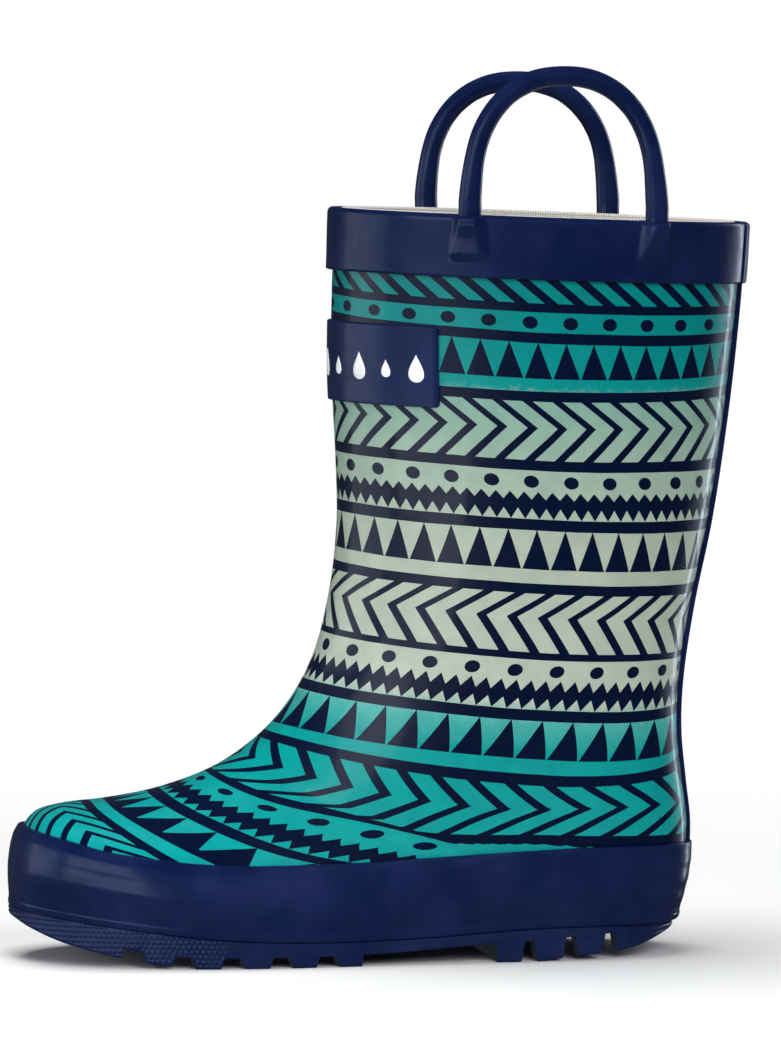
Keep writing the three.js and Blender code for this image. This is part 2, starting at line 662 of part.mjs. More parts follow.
// A bar across the sole with slanting sides, whose top is at z.
function notchBar(x, z, { bottom, top }) {
  const shape = new THREE.Shape();
  const slant = (bottom - top) / 2 / (z + 0.5);
  shape.moveTo(x - top / 2, z);
  shape.lineTo(x - bottom / 2 - slant, -1);
  shape.lineTo(x + bottom / 2 + slant, -1);
  shape.lineTo(x + top / 2, z);
  shape.closePath();
  const bar = new THREE.ExtrudeGeometry(shape, { depth: 110, bevelEnabled: false, steps: 1 });
  return toSolid(bar.rotateX(Math.PI / 2).translate(0, 55, 0));
}

// A V-shaped rib in the hollow between the lugs, pointing to the toe.
function ribPrism(x) {
  const { reach, width, rake } = RIBS;
  const rib = new THREE.Shape();
  rib.moveTo(x, 0);
  rib.lineTo(x + rake, -reach);
  rib.lineTo(x + rake + width, -reach);
  rib.lineTo(x + width, 0);
  rib.lineTo(x + rake + width, reach);
  rib.lineTo(x + rake, reach);
  rib.closePath();
  const prism = new THREE.ExtrudeGeometry(rib, { depth: 20, bevelEnabled: false, steps: 1 });
  return toSolid(prism.translate(0, toeSwing(x), -5));
}

// The outsole: a base plate, lugs round its edge, a solid toe tip, a bar across the front of the
// heel, and low ribs in the hollow.
function outsole() {
  const top = (x) => foxingBottom(x) - GAP;
  const base = lineThrough(BASE_LINE);
  const treadLine = lineThrough(TREAD_LINE);
  const tread = (x) => Math.max(treadLine(x), 0);
  const outline = solePrism(0);
  const ends = [TREAD_LINE[0][0], TREAD_LINE.at(-1)[0]];
  const plateFrom = NOTCHES[0] - NOTCH_WIDTH.bottom / 2;
  let lugs = sideSlab(tread, top, ends[0], SHANK.start, 16)
    .add(sideSlab(tread, top, SHANK.end, ends[1], 10))
    .intersect(outline);
  const hollow = solePrism(LUG_DEPTH).intersect(sideSlab(() => -1, base, plateFrom, ends[1], 8));
  const heelBar = sideSlab(tread, top, SHANK.end, HEEL_NOTCHES[0] - HEEL_NOTCH_WIDTH.bottom / 2, 1);
  lugs = lugs.subtract(hollow).add(heelBar.intersect(outline));
  for (const x of NOTCHES) lugs = lugs.subtract(notchBar(x, base(x), NOTCH_WIDTH));
  for (const x of HEEL_NOTCHES) lugs = lugs.subtract(notchBar(x, base(x), HEEL_NOTCH_WIDTH));
  const baseSlab = sideSlab(base, top, plateFrom, ends[1] - 14, 10).intersect(outline);
  let ribs = ribPrism(RIBS.xs[0]);
  for (const x of RIBS.xs.slice(1)) ribs = ribs.add(ribPrism(x));
  const low = sideSlab((x) => base(x) - RIBS.height, top, plateFrom, ends[1] - 14, 10);
  return toGeometry(largestBody(lugs.add(baseSlab).add(ribs.intersect(low).intersect(outline))));
}

// ---------------------------------------------------------------- inside the boot

const fillerThickness = (x) => lerp(FILLER_THICKNESS, HEEL_FILLER_THICKNESS, smoothstep(x, -5, 45));
const fillerBottom = (x) => foxingBottom(x) + 0.1;
const boardBottom = (x) => fillerBottom(x) + fillerThickness(x) + GAP;
const footbedBottom = (x) => boardBottom(x) + BOARD_THICKNESS + GAP;
const insideWall = liningInset + GAP + 1;

function filler(from, to) {
  return plate({
    level: featherHeight, inset: insideWall + 0.4, from, to, rows: 26, columns: 4,
    bottom: fillerBottom, top: (x) => fillerBottom(x) + fillerThickness(x),
  });
}

const insoleBoard = () => plate({
  level: featherHeight, inset: insideWall, rows: 26, columns: 4,
  bottom: boardBottom, top: (x) => boardBottom(x) + BOARD_THICKNESS,
});

// The footbed is dished at the heel: it stands up by CUP at the heel's edge.
const CUP = 3;
const cup = (x, y) => CUP * smoothstep(x, 0, 55) * Math.hypot(Math.max(x - 50, 0) / 28, y / 23) ** 3;
const footbedLayer = (low, thickness) => plate({
  level: (x) => featherHeight(x) + 5, inset: insideWall + 0.8, rows: 22, columns: 8,
  bottom: (x, y) => footbedBottom(x) + low + (low > 0 ? cup(x, y) : 0),
  top: (x, y) => footbedBottom(x) + low + thickness + cup(x, y),
});
const footbedFoam = () => footbedLayer(0, FOOTBED_THICKNESS);
const footbedCover = () => footbedLayer(FOOTBED_THICKNESS + GAP, COVER_THICKNESS);

// ---------------------------------------------------------------- the object

const material = (color, roughness) => new THREE.MeshStandardMaterial({ color, roughness, metalness: 0 });
const navyRubber = material(COLOURS.navy, 0.35);
const soleRubber = material(COLOURS.navy, 0.6);
const printedRubber = material(COLOURS.print, 0.3);
const cloth = material(COLOURS.cloth, 0.95);
const board = material(COLOURS.board, 0.9);
const foam = material(COLOURS.foam, 0.9);
const sponge = material(COLOURS.filler, 0.9);

const boot = new THREE.Group();
function put(name, geometry, surfaceMaterial) {
  const mesh = new THREE.Mesh(geometry, surfaceMaterial);
  mesh.name = name;
  boot.add(mesh);
}

put("outsole", outsole(), soleRubber);
put("foxing_band", foxingBand(), navyRubber);
put("midsole_filler", filler(-Infinity, FILLER_SPLIT - GAP), sponge);
put("heel_filler", filler(FILLER_SPLIT, Infinity), sponge);
put("insole_board", insoleBoard(), board);
put("footbed_foam", footbedFoam(), foam);
put("footbed_cover", footbedCover(), cloth);
put("fabric_lining", fabricLining(), cloth);
put("toe_reinforcement", toeReinforcement(), soleRubber);
put("heel_counter", heelCounter(), soleRubber);
put("printed_upper", printedUpper(), printedRubber);
put("back_seam_strip", backSeamStrip(), navyRubber);
put("front_label_patch", frontLabelPatch(), navyRubber);
put("top_band", topBand(), navyRubber);
for (const [sideName, side] of [["outer", -1], ["inner", 1]]) {
  put(`${sideName}_handle_loop`, handleLoop(side), navyRubber);
  handleFeet.forEach((x, i) => {
    put(`${sideName}_handle_${["front", "back"][i]}_anchor`, handleAnchor(x, side), navyRubber);
  });
}

export default boot;
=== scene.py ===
"""Looks of a child's rubber rain boot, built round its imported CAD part.

Lengths in the geometry code are millimetres, turned into metres when a mesh is made. The toe
points to -X, the outer side of the foot to -Y. Every layer follows one surface, the outer face of
the upper: a fan of girths, plane sections that run from the front line (shin, instep, toe) to the
back line or, past the heel, to the feather edge where the upper meets the sole.
"""
import math
from functools import partialmethod

import bmesh
import bpy
import numpy as np
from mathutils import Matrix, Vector


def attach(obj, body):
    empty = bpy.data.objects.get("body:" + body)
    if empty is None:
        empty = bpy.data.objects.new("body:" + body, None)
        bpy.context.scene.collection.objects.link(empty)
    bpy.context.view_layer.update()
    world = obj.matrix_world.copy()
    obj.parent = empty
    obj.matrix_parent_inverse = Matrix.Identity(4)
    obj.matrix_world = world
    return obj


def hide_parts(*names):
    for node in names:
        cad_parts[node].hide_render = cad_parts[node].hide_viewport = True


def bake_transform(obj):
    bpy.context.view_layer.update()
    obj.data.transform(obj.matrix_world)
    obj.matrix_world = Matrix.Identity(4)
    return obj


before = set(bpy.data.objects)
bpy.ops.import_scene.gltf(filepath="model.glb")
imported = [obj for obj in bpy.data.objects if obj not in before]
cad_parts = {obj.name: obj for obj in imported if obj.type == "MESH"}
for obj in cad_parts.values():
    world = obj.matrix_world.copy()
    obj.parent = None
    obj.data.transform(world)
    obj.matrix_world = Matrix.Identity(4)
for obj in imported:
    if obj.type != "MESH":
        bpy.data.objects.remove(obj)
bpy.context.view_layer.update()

# ---------------------------------------------------------------- dimensions

FRONT_LINE = [
    (-12.5, 209), (-13.2, 186), (-13.4, 162), (-12.3, 140), (-12, 120), (-14.3, 101),
    (-20, 81), (-30, 65.5), (-44.5, 54), (-61, 47.5), (-77, 44.2), (-89, 42.8),
    (-96, 40.8), (-100, 36), (-101.6, 28), (-101.8, 15.5)]
BACK_LINE = [
    (102.5, 204.5), (100.6, 180), (97.5, 152), (93, 122), (88, 98), (84.6, 76),
    (84, 62), (85.2, 48), (86.4, 36), (85.6, 25), (82, 10.5)]
FEATHER_OUTLINE = [
    (82, 0), (79.8, 11), (73, 20), (60, 25), (40, 27), (15, 28.5),
    (-10, 31.5), (-34, 34.6), (-56, 34.4), (-76, 29.8), (-91, 21), (-99, 11), (-101.8, 0)]
# Share of the front line, share of the back line and past 1 of the feather edge, half width.
GIRTHS = [
    (0, 0, 40), (0.2, 0.25, 38.5), (0.395, 0.52, 35.4), (0.49, 0.645, 33.7), (0.58, 0.79, 32.2),
    (0.63, 0.9, 31.8), (0.67, 1, 31.5), (0.69, 1.08, 30.1), (0.717, 1.2, 24.6), (0.75, 1.33, 22.8),
    (0.785, 1.46, 20), (0.82, 1.59, 17.5), (0.86, 1.7, 16), (0.9, 1.8, 13), (0.95, 1.91, 7.5), (1, 2, 0)]
HEEL_GIRTH = 6 / (len(GIRTHS) - 1)
HEEL_CENTRE = 56
TOE_SWING = 4.5
FOXING_TOP = [
    (-104, 38), (-92, 35.5), (-78, 32), (-50, 28.6), (-20, 28.4), (20, 30.4), (55, 31.8), (89, 31.2)]
FOXING_BOTTOM = [(-104, 14.6), (-78, 11.2), (-50, 8), (-20, 6.8), (10, 7.4), (44, 9.2), (89, 9)]
FEATHER_RISE = 1.2

UPPER_THICKNESS = 1.6
LINING = (-1.75, -2.95)  # offsets of its two faces
POCKET_DEPTH = 1.1
BOARD_THICKNESS = 1.4
LAYER_GAP = 0.3
BAND_HEIGHT = 17
BAND_FACE = 1.9
STRIP_WIDTH = 11
STRIP_FACE = 1.4
PATCH_TOP, PATCH_BOTTOM, PATCH_ARC, PATCH_FACE = 178, 155.5, 43, 1.2

HANDLE_RADIUS = 2.85
HANDLE_CENTRE, HANDLE_HALF_SPAN = 45.4, 25.6
HANDLE_ARCH_BASE = 215
HANDLE_SQUARENESS = 0.9  # 1 would make the arch an ellipse
HANDLE_ARCH_RISE = {-1: 31.2, 1: 29}
HANDLE_STANDOFF = 2
HINGE_RISE = 4.6

# ---------------------------------------------------------------- curves


def smoothstep(x, low, high):
    u = np.clip((x - low) / (high - low), 0, 1)
    return u * u * (3 - 2 * u)


def unit(vectors):
    return vectors / np.maximum(np.linalg.norm(vectors, axis=-1, keepdims=True), 1e-12)


def run_length(points):
    """The length of each line of points (..., m, 2 or 3) up to each of them."""
    steps = np.diff(points, axis=-2, prepend=points[..., :1, :])
    return np.cumsum(np.linalg.norm(steps, axis=-1), -1)


def catmull_rom(points, closed=False, centripetal=True, steps=60):
    """Points along a Catmull-Rom curve, evenly spaced in its parameter."""
    p = np.array(points, float)
    if closed:
        ring = np.vstack([p[-1:], p, p[:2]])
    else:
        ring = np.vstack([2 * p[:1] - p[1:2], p, 2 * p[-1:] - p[-2:-1]])
    u = np.linspace(0, 1, steps, endpoint=False)[:, None]
    out = []
    for a, b, c, d in zip(ring[:-3], ring[1:-2], ring[2:-1], ring[3:]):
        if centripetal:
            d0, d1, d2 = (np.linalg.norm(q) ** 0.5 for q in (b - a, c - b, d - c))
            m0 = ((b - a) / d0 - (c - a) / (d0 + d1) + (c - b) / d1) * d1
            m1 = ((c - b) / d1 - (d - b) / (d1 + d2) + (d - c) / d2) * d1
        else:
            m0, m1 = (c - a) / 2, (d - b) / 2
        out.append(b + m0 * u + (3 * (c - b) - 2 * m0 - m1) * u**2 + (2 * (b - c) + m0 + m1) * u**3)
    return np.vstack([*out, ring[1:2] if closed else ring[-2:-1]])


def by_length(curve):
    """A function from a share of a curve's length to its point."""
    lengths = run_length(curve)
    shares = lengths / lengths[-1]
    return lambda u: np.stack([np.interp(u, shares, c) for c in curve.T], -1)


def line_through(points):
    """A smooth line through (x, value) points."""
    x, v = np.array(points, float).T
    before = np.maximum(np.arange(len(x)) - 1, 0)
    after = np.minimum(np.arange(len(x)) + 1, len(x) - 1)
    slope = (v[after] - v[before]) / (x[after] - x[before])

    def at(q):
        q = np.asarray(q, float)
        i = np.clip(np.searchsorted(x, q) - 1, 0, len(x) - 2)
        w = x[i + 1] - x[i]
        u = np.clip((q - x[i]) / w, 0, 1)
        bend = slope[i] * w * u * (1 - u) ** 2 - slope[i + 1] * w * u * u * (1 - u)
        return v[i] + (v[i + 1] - v[i]) * u * u * (3 - 2 * u) + bend
    return at


front_at = by_length(catmull_rom(FRONT_LINE))
back_at = by_length(catmull_rom(BACK_LINE))
inner_side = [(x, -w) for x, w in FEATHER_OUTLINE[-2:0:-1]]
feather_at = by_length(catmull_rom(FEATHER_OUTLINE + inner_side, closed=True))
girth_rows = catmull_rom(GIRTHS, centripetal=False)
foxing_top = line_through(FOXING_TOP)
foxing_bottom = line_through(FOXING_BOTTOM)


def feather_height(x):
    return foxing_bottom(x) + FEATHER_RISE


def toe_swing(x):
    return TOE_SWING * smoothstep(-np.asarray(x, float), -10, 105)


# ---------------------------------------------------------------- the upper's surface

SECTION_STEPS = 240
FAN_STEP, SHARE_STEP = 2e-3, 0.02  # over which the surface's slopes are measured


def girth_shapes(s):
    """What draws the girths at shares s of the fan: ends, half width, radius, bluntness, last angle."""
    rows = np.asarray(s, float) * (len(girth_rows) - 1)
    front_share, back_share, width = (np.interp(rows, np.arange(len(girth_rows)), c) for c in girth_rows.T)
    front = front_at(np.clip(front_share, 0, 1))
    on_feather = back_share > 1 + 1e-6
    edge = feather_at(np.clip(back_share - 1, 0, 1) / 2)
    feather = np.stack([edge[..., 0], feather_height(edge[..., 0])], -1)
    back = np.where(on_feather[..., None], feather, back_at(np.clip(back_share, 0, 1)))
    sill = np.where(on_feather, np.maximum(edge[..., 1], 0), 0)
    half = np.maximum(np.cbrt(np.maximum(width, 0) ** 3 + sill**3), 1e-6)
    blunt_front = 2 + 0.4 * smoothstep(back_share, 0.6, 1.1)
    blunt_back = 2 + 0.9 * smoothstep(back_share, 0.55, 1) - 0.4 * smoothstep(back_share, 1.1, 1.6)
    cut = (1 - np.minimum(sill / half, 1) ** blunt_back) ** (1 / blunt_back)
    radius = np.linalg.norm(front - back, axis=-1) / (1 + cut)
    end = np.pi - np.arccos(np.minimum(cut ** (blunt_back / 2), 1))
    return front, back, half, radius, blunt_front, blunt_back, end, on_feather


def girth_points(s, share):
    """Points (n, m, 3) at shares (n, m) of the half length of the girths s (n), and those lengths."""
    front, back, half, radius, blunt_front, blunt_back, end, on_feather = girth_shapes(s)
    chord = unit(back - front)
    angle = end[:, None] * np.linspace(0, 1, SECTION_STEPS + 1)
    power = 2 / np.where(angle < np.pi / 2, blunt_front[:, None], blunt_back[:, None])
    c, q = np.cos(angle), np.maximum(np.sin(angle), 0)
    reach = radius[:, None] * (1 - np.sign(c) * np.abs(c) ** power)
    y = half[:, None] * q**power
    y[~on_feather, -1] = 0
    p = np.stack([front[:, :1] + chord[:, :1] * reach, y, front[:, 1:] + chord[:, 1:] * reach], -1)
    lengths = run_length(p)
    share = np.clip(np.broadcast_to(share, (len(p), np.shape(share)[-1])), 0, 1)
    out = np.empty(share.shape + (3,))
    for i, row in enumerate(p):
        for k in range(3):
            out[i, :, k] = np.interp(share[i] * lengths[i, -1], lengths[i], row[:, k])
    return out, lengths[:, -1]


def half_length(s):
    return girth_points(np.atleast_1d(np.asarray(s, float)), np.zeros((1, 1)))[1]


def outward_normals(s, share):
    """Outward unit normals at shares (n, m) of the girths s (n); level near the feather edge."""
    share = np.broadcast_to(share, (len(s), np.shape(share)[-1]))
    here, _ = girth_points(s, share)
    below = girth_points(np.minimum(s + FAN_STEP, 1 - 1e-4), share)[0]
    down = below - girth_points(np.maximum(s - FAN_STEP, 0), share)[0]
    beyond = girth_points(s, np.minimum(share + SHARE_STEP, 1))[0]
    along = beyond - girth_points(s, np.maximum(share - SHARE_STEP, 0))[0]
    front, back, *_, on_feather = girth_shapes(s)
    at_front = share == 0
    at_back = (share == 1) & ~on_feather[:, None]
    along = np.where(at_front[..., None], (0, 1, 0), along)
    along = np.where(at_back[..., None], (0, -1, 0), along)
    n = np.cross(along, down)
    middle = (front + back) / 2
    centre = np.stack([middle[:, 0], 0 * middle[:, 0], middle[:, 1]], 1)[:, None, :]
    n = np.where((n * (here - centre)).sum(-1, keepdims=True) < 0, -n, n)
    n[..., 1] = np.where(at_front | at_back, 0, n[..., 1])
    n[..., 2] *= np.where(on_feather[:, None], 1 - smoothstep(share, 0.8, 1), 1)
    n = unit(n)
    round_heel = unit(np.stack([here[..., 0] - HEEL_CENTRE, here[..., 1], 0 * here[..., 0]], -1))
    at_heel = smoothstep(here[..., 0], HEEL_CENTRE + 2, HEEL_CENTRE + 14)
    at_heel = at_heel * (1 - smoothstep(here[..., 2], 16, 30))
    n = unit(n * (1 - at_heel[..., None]) + round_heel * at_heel[..., None])
    n[s > 1 - 1e-6] = (-1, 0, 0)
    return n


def surface(s, turn, offset=0.0):
    """Points (n, m, 3) of the upper at girths s (n) and turns from -1 to 1, with 0 in front."""
    s = np.atleast_1d(np.asarray(s, float))
    turn = np.broadcast_to(np.asarray(turn, float), (len(s), np.shape(turn)[-1]))
    turn = np.where(turn > 1, turn - 2, turn)
    share = np.abs(turn)
    p = girth_points(s, share)[0] + outward_normals(s, share) * np.asarray(offset)[..., None]
    p[..., 1] = np.where(turn < 0, -p[..., 1], p[..., 1]) + toe_swing(p[..., 0])
    return p


def girth_at_height(end, height):
    """The share of the fan whose girth has its front (0) or back (1) end at a height."""
    s = np.linspace(0, HEEL_GIRTH, 4000)
    return float(np.interp(-height, -girth_shapes(s)[end][:, 1], s))


def below_rim(depth):
    return girth_at_height(0, FRONT_LINE[0][1] - depth)


def half_width(x, z):
    """Half the width of the upper at points (x, z) of the side view."""
    x, z = np.asarray(x, float), np.asarray(z, float)
    low, high = np.zeros_like(x), np.full_like(x, 1 - 1e-5)
    for _ in range(30):
        s = (low + high) / 2
        front, back, *_ = girth_shapes(s)
        chord = back - front
        above = chord[..., 0] * (z - front[..., 1]) - chord[..., 1] * (x - front[..., 0]) < 0
        low, high = np.where(above, s, low), np.where(above, high, s)
    front, back, half, radius, blunt_front, blunt_back, *_ = girth_shapes((low + high) / 2)
    chord = back - front
    reach = (x - front[..., 0]) * chord[..., 0] + (z - front[..., 1]) * chord[..., 1]
    reach = reach / np.linalg.norm(chord, axis=-1)
    blunt = np.where(reach < radius, blunt_front, blunt_back)
    return half * np.maximum(1 - np.abs(1 - reach / radius) ** blunt, 0) ** (1 / blunt)


def end_on_curve(curve_at, height_of):
    """x where a side curve's lower end crosses a height line."""
    low, high = 0.0, 1.0
    for _ in range(40):
        share = (low + high) / 2
        x, z = curve_at(share)
        low, high = (share, high) if z > height_of(x) else (low, share)
    return float(curve_at(high)[0])


def wall_loop(height_of, columns):
    """A closed plan loop round the upper at a height line: points (columns, 3) and plan normals."""
    def on_wall(x):
        return np.maximum(height_of(x), feather_height(x) + 0.05)
    toe, heel = end_on_curve(front_at, on_wall), end_on_curve(back_at, on_wall)
    half = columns // 2
    x = (toe + heel) / 2 - (heel - toe) / 2 * np.cos(np.pi * np.arange(half + 1) / half)
    y = half_width(x, on_wall(x))
    y[[0, -1]] = 0
    side = np.stack([x, y, height_of(x)], 1)
    loop = np.vstack([side, side[-2:0:-1] * (1, -1, 1)])
    step = np.roll(loop, -1, 0) - np.roll(loop, 1, 0)
    step /= np.hypot(step[:, 0], step[:, 1])[:, None]
    return loop, np.stack([-step[:, 1], step[:, 0], 0 * step[:, 0]], 1)


def swung(p):
    """Points with the toe swung towards the inner side."""
    return np.concatenate([p[..., :1], p[..., 1:2] + toe_swing(p[..., :1]), p[..., 2:]], -1)


# ---------------------------------------------------------------- meshes

def grid_faces(rows, columns, wrap_rows=False, wrap_columns=False):
    i = np.arange(rows if wrap_rows else rows - 1)[:, None]
    j = np.arange(columns if wrap_columns else columns - 1)[None, :]
    below, right = (i + 1) % rows, (j + 1) % columns
    corners = (i * columns + j, i * columns + right, below * columns + right, below * columns + j)
    return np.stack(corners, -1).reshape(-1, 4)


def tube_faces(rows, columns):
    """Faces of rings joined into a tube, with a face over each end."""
    ends = [list(range(columns)), list(range((rows - 1) * columns, rows * columns))]
    return grid_faces(rows, columns, wrap_columns=True).tolist() + ends


def make_piece(name, points, faces, material, attributes=None, merge=True):
    """A smooth mesh object from points in millimetres, with float attributes on its points."""
    mesh = bpy.data.meshes.new(name)
    places = np.asarray(points).reshape(-1, 3) / 1000
    mesh.from_pydata(places.tolist(), [], [list(map(int, face)) for face in faces])
    for key, values in (attributes or {}).items():
        stored = mesh.attributes.new(key, "FLOAT", "POINT")
        stored.data.foreach_set("value", np.asarray(values, np.float32).ravel())
    shape = bmesh.new()
    shape.from_mesh(mesh)
    if merge:
        bmesh.ops.remove_doubles(shape, verts=shape.verts, dist=1e-6)
    bmesh.ops.recalc_face_normals(shape, faces=shape.faces)
    shape.to_mesh(mesh)
    shape.free()
    mesh.shade_smooth()
    mesh.materials.append(material)
    piece = bpy.data.objects.new(name, mesh)
    bpy.context.scene.collection.objects.link(piece)
    return piece


def ripple(p, wavelength, seed):
    """Smooth unevenness from -1 to 1 over points, made of a few crossing waves."""
    rng = np.random.default_rng(seed)
    total = 0
    for _ in range(7):
        direction = unit(rng.normal(size=3))
        stretched = wavelength * rng.uniform(0.7, 1.6)
        total = total + np.sin(p @ direction * 2 * np.pi / stretched + rng.uniform(0, 6))
    return total / 4


# ---------------------------------------------------------------- shader arithmetic

def rgb(*levels):
    """A linear colour from red, green and blue in 8-bit sRGB."""
    linear = [((c / 255 + 0.055) / 1.055) ** 2.4 if c > 10 else c / 255 / 12.92 for c in levels]
    return (*linear, 1.0)


class Field:
    """A shader value that takes part in arithmetic; each step makes one math node."""

    def __init__(self, tree, socket):
        self.tree, self.socket = tree, socket

    def fed(self, node, *values):
        """The output of a node whose inputs are this field and then the values."""
        for place, value in zip(node.inputs, (self, *values)):
            if isinstance(value, Field):
                self.tree.links.new(value.socket, place)
            else:
                place.default_value = value
        return Field(self.tree, node.outputs[0])

    def math(self, operation, *others):
        node = self.tree.nodes.new("ShaderNodeMath")
        node.operation = operation
        return self.fed(node, *others)

    __add__, __sub__ = partialmethod(math, "ADD"), partialmethod(math, "SUBTRACT")
    __mul__, __truediv__ = partialmethod(math, "MULTIPLY"), partialmethod(math, "DIVIDE")
    __lt__, __gt__ = partialmethod(math, "LESS_THAN"), partialmethod(math, "GREATER_THAN")

    def __rsub__(self, other):
        return (self * -1) + other

    def wave(self, period):
        """Distance to the nearest multiple of a period, from 0 to 1 half way."""
        return self.math("PINGPONG", period / 2) / (period / 2)

    def spread(self, low, high, to_low=0.0, to_high=1.0):
        """Smoothly carries the range from low to high over to another range."""
        node = self.tree.nodes.new("ShaderNodeMapRange")
        node.interpolation_type = "SMOOTHSTEP"
        return self.fed(node, low, high, to_low, to_high)


class Finish:
    """A procedural material on a Principled surface."""

    def __init__(self, name, **uniform):
        self.material = bpy.data.materials.new(name)
        self.material.use_nodes = True
        self.tree = self.material.node_tree
        self.shader = self.tree.nodes["Principled BSDF"]
        for key, value in uniform.items():
            self.shader.inputs[key.replace("_", " ")].default_value = value

    def node(self, kind, **settings):
        node = self.tree.nodes.new(kind)
        for key, value in settings.items():
            setattr(node, key, value)
        return node

    def attribute(self, name):
        return Field(self.tree, self.node("ShaderNodeAttribute", attribute_name=name).outputs["Fac"])

    def position(self):
        return self.node("ShaderNodeTexCoord").outputs["Object"]

    def noise(self, scale, octaves, roughness=0.5):
        node = self.node("ShaderNodeTexNoise")
        for key, value in (("Scale", scale), ("Detail", octaves), ("Roughness", roughness)):
            node.inputs[key].default_value = value
        self.tree.links.new(self.position(), node.inputs["Vector"])
        return Field(self.tree, node.outputs["Fac"])

    def mix(self, share, a, b):
        node = self.node("ShaderNodeMix", data_type="RGBA")
        for place, value in ((node.inputs[0], share), (node.inputs[6], a), (node.inputs[7], b)):
            if isinstance(value, Field):
                value = value.socket
            if isinstance(value, bpy.types.NodeSocket):
                self.tree.links.new(value, place)
            else:
                place.default_value = value
        return node.outputs[2]

    def ramp(self, value, stops):
        node = self.node("ShaderNodeValToRGB")
        self.tree.links.new(value.socket, node.inputs[0])
        elements = node.color_ramp.elements
        while len(elements) < len(stops):
            elements.new(0.5)
        for element, (place, colour) in zip(elements, stops):
            element.position, element.color = place, colour
        return node.outputs[0]

    def colour(self, socket):
        self.tree.links.new(socket, self.shader.inputs["Base Color"])

    def roughness(self, field):
        self.tree.links.new(field.socket, self.shader.inputs["Roughness"])

    def bump(self, field, depth):
        """Relief of a depth in millimetres, added over any relief set before."""
        node = self.node("ShaderNodeBump")
        node.inputs["Strength"].default_value = 1.0
        node.inputs["Distance"].default_value = depth / 1000
        self.tree.links.new(field.socket, node.inputs["Height"])
        normal = self.shader.inputs["Normal"]
        if normal.is_linked:
            self.tree.links.new(normal.links[0].from_socket, node.inputs["Normal"])
        self.tree.links.new(node.outputs[0], normal)


# ---------------------------------------------------------------- finishes

INK = rgb(0, 13, 43)
NAVY = rgb(7, 21, 60)
PRINT_LENGTH = 262  # of the print, from the rim to the toe
CHEVRON_SHARE = 0.66  # of a chevron's period that is light
# Light ink down the boot, as (mm below the rim, colour).
LIGHT_INK = [
    (0, rgb(0, 121, 123)), (46, rgb(0, 140, 136)), (50, rgb(130, 170, 153)), (68, rgb(155, 179, 161)),
    (90, rgb(173, 185, 167)), (132, rgb(178, 187, 171)), (138, rgb(72, 166, 158)), (147, rgb(0, 146, 142)),
    (200, rgb(0, 148, 146)), (PRINT_LENGTH, rgb(6, 158, 158))]


def shoe_rubber(name, colour, roughness, grain=0.02):
    finish = Finish(name, Specular_IOR_Level=0.36, Specular_Tint=(0.5, 0.66, 1, 1), Coat_Weight=0.17,
                    Coat_Roughness=0.16)
    cloud = finish.noise(60, 4)
    pale = tuple(min(c * 1.35 + 0.004, 1) for c in colour[:3]) + (1,)
    finish.colour(finish.mix(cloud.spread(0.35, 0.75), colour, pale))
    finish.roughness(finish.noise(220, 5).spread(0.3, 0.7, roughness - 0.05, roughness + 0.09))
    finish.bump(finish.noise(90, 3), 0.12)
    finish.bump(finish.noise(900, 4, 0.6), grain)
    return finish.material


def within(value, low, high):
    return (value > low) * (value < high)


def dot_rows(u, v, period, phase, centre, half_width, half_height):
    across = (u - phase).wave(period) * (period / 2 / half_width)
    down = (v - centre) / half_height
    return across * across + down * down < 1


def spikes(u, v, top, bottom, period, phase, lean=0.0):
    """Light cloth between dark triangles whose points stand at the top."""
    depth = (v - top) / (bottom - top)
    return within(v, top, bottom) * ((u + depth * lean - phase).wave(period) > depth * 0.94 + 0.02)


def chevrons(u, v, top, tip, bottom, period, phase, way, rise, fall):
    """Bent bars whose tips point along u (way 1) or against it (way -1)."""
    bend = ((tip - v) * rise).math("MAXIMUM", (v - tip) * fall)
    phased = ((u - phase) * way + bend) / period
    return within(v, top, bottom) * (phased.math("FRACT") > 1 - CHEVRON_SHARE)


def dotted_zigzag(u, v, edges, dot, zigzag, dot_size=(2.1, 1.7)):
    """A light band with a row of dots over a chain of dark diamonds."""
    top, dots_at, peak, valley, teeth, bottom = edges
    wave = (u - zigzag[1]).wave(zigzag[0])
    light = (v < wave * (valley - peak) + peak) + (v > wave * (teeth - bottom) + bottom)
    return within(v, top, bottom) * light * (1 - dot_rows(u, v, *dot, dots_at, *dot_size))


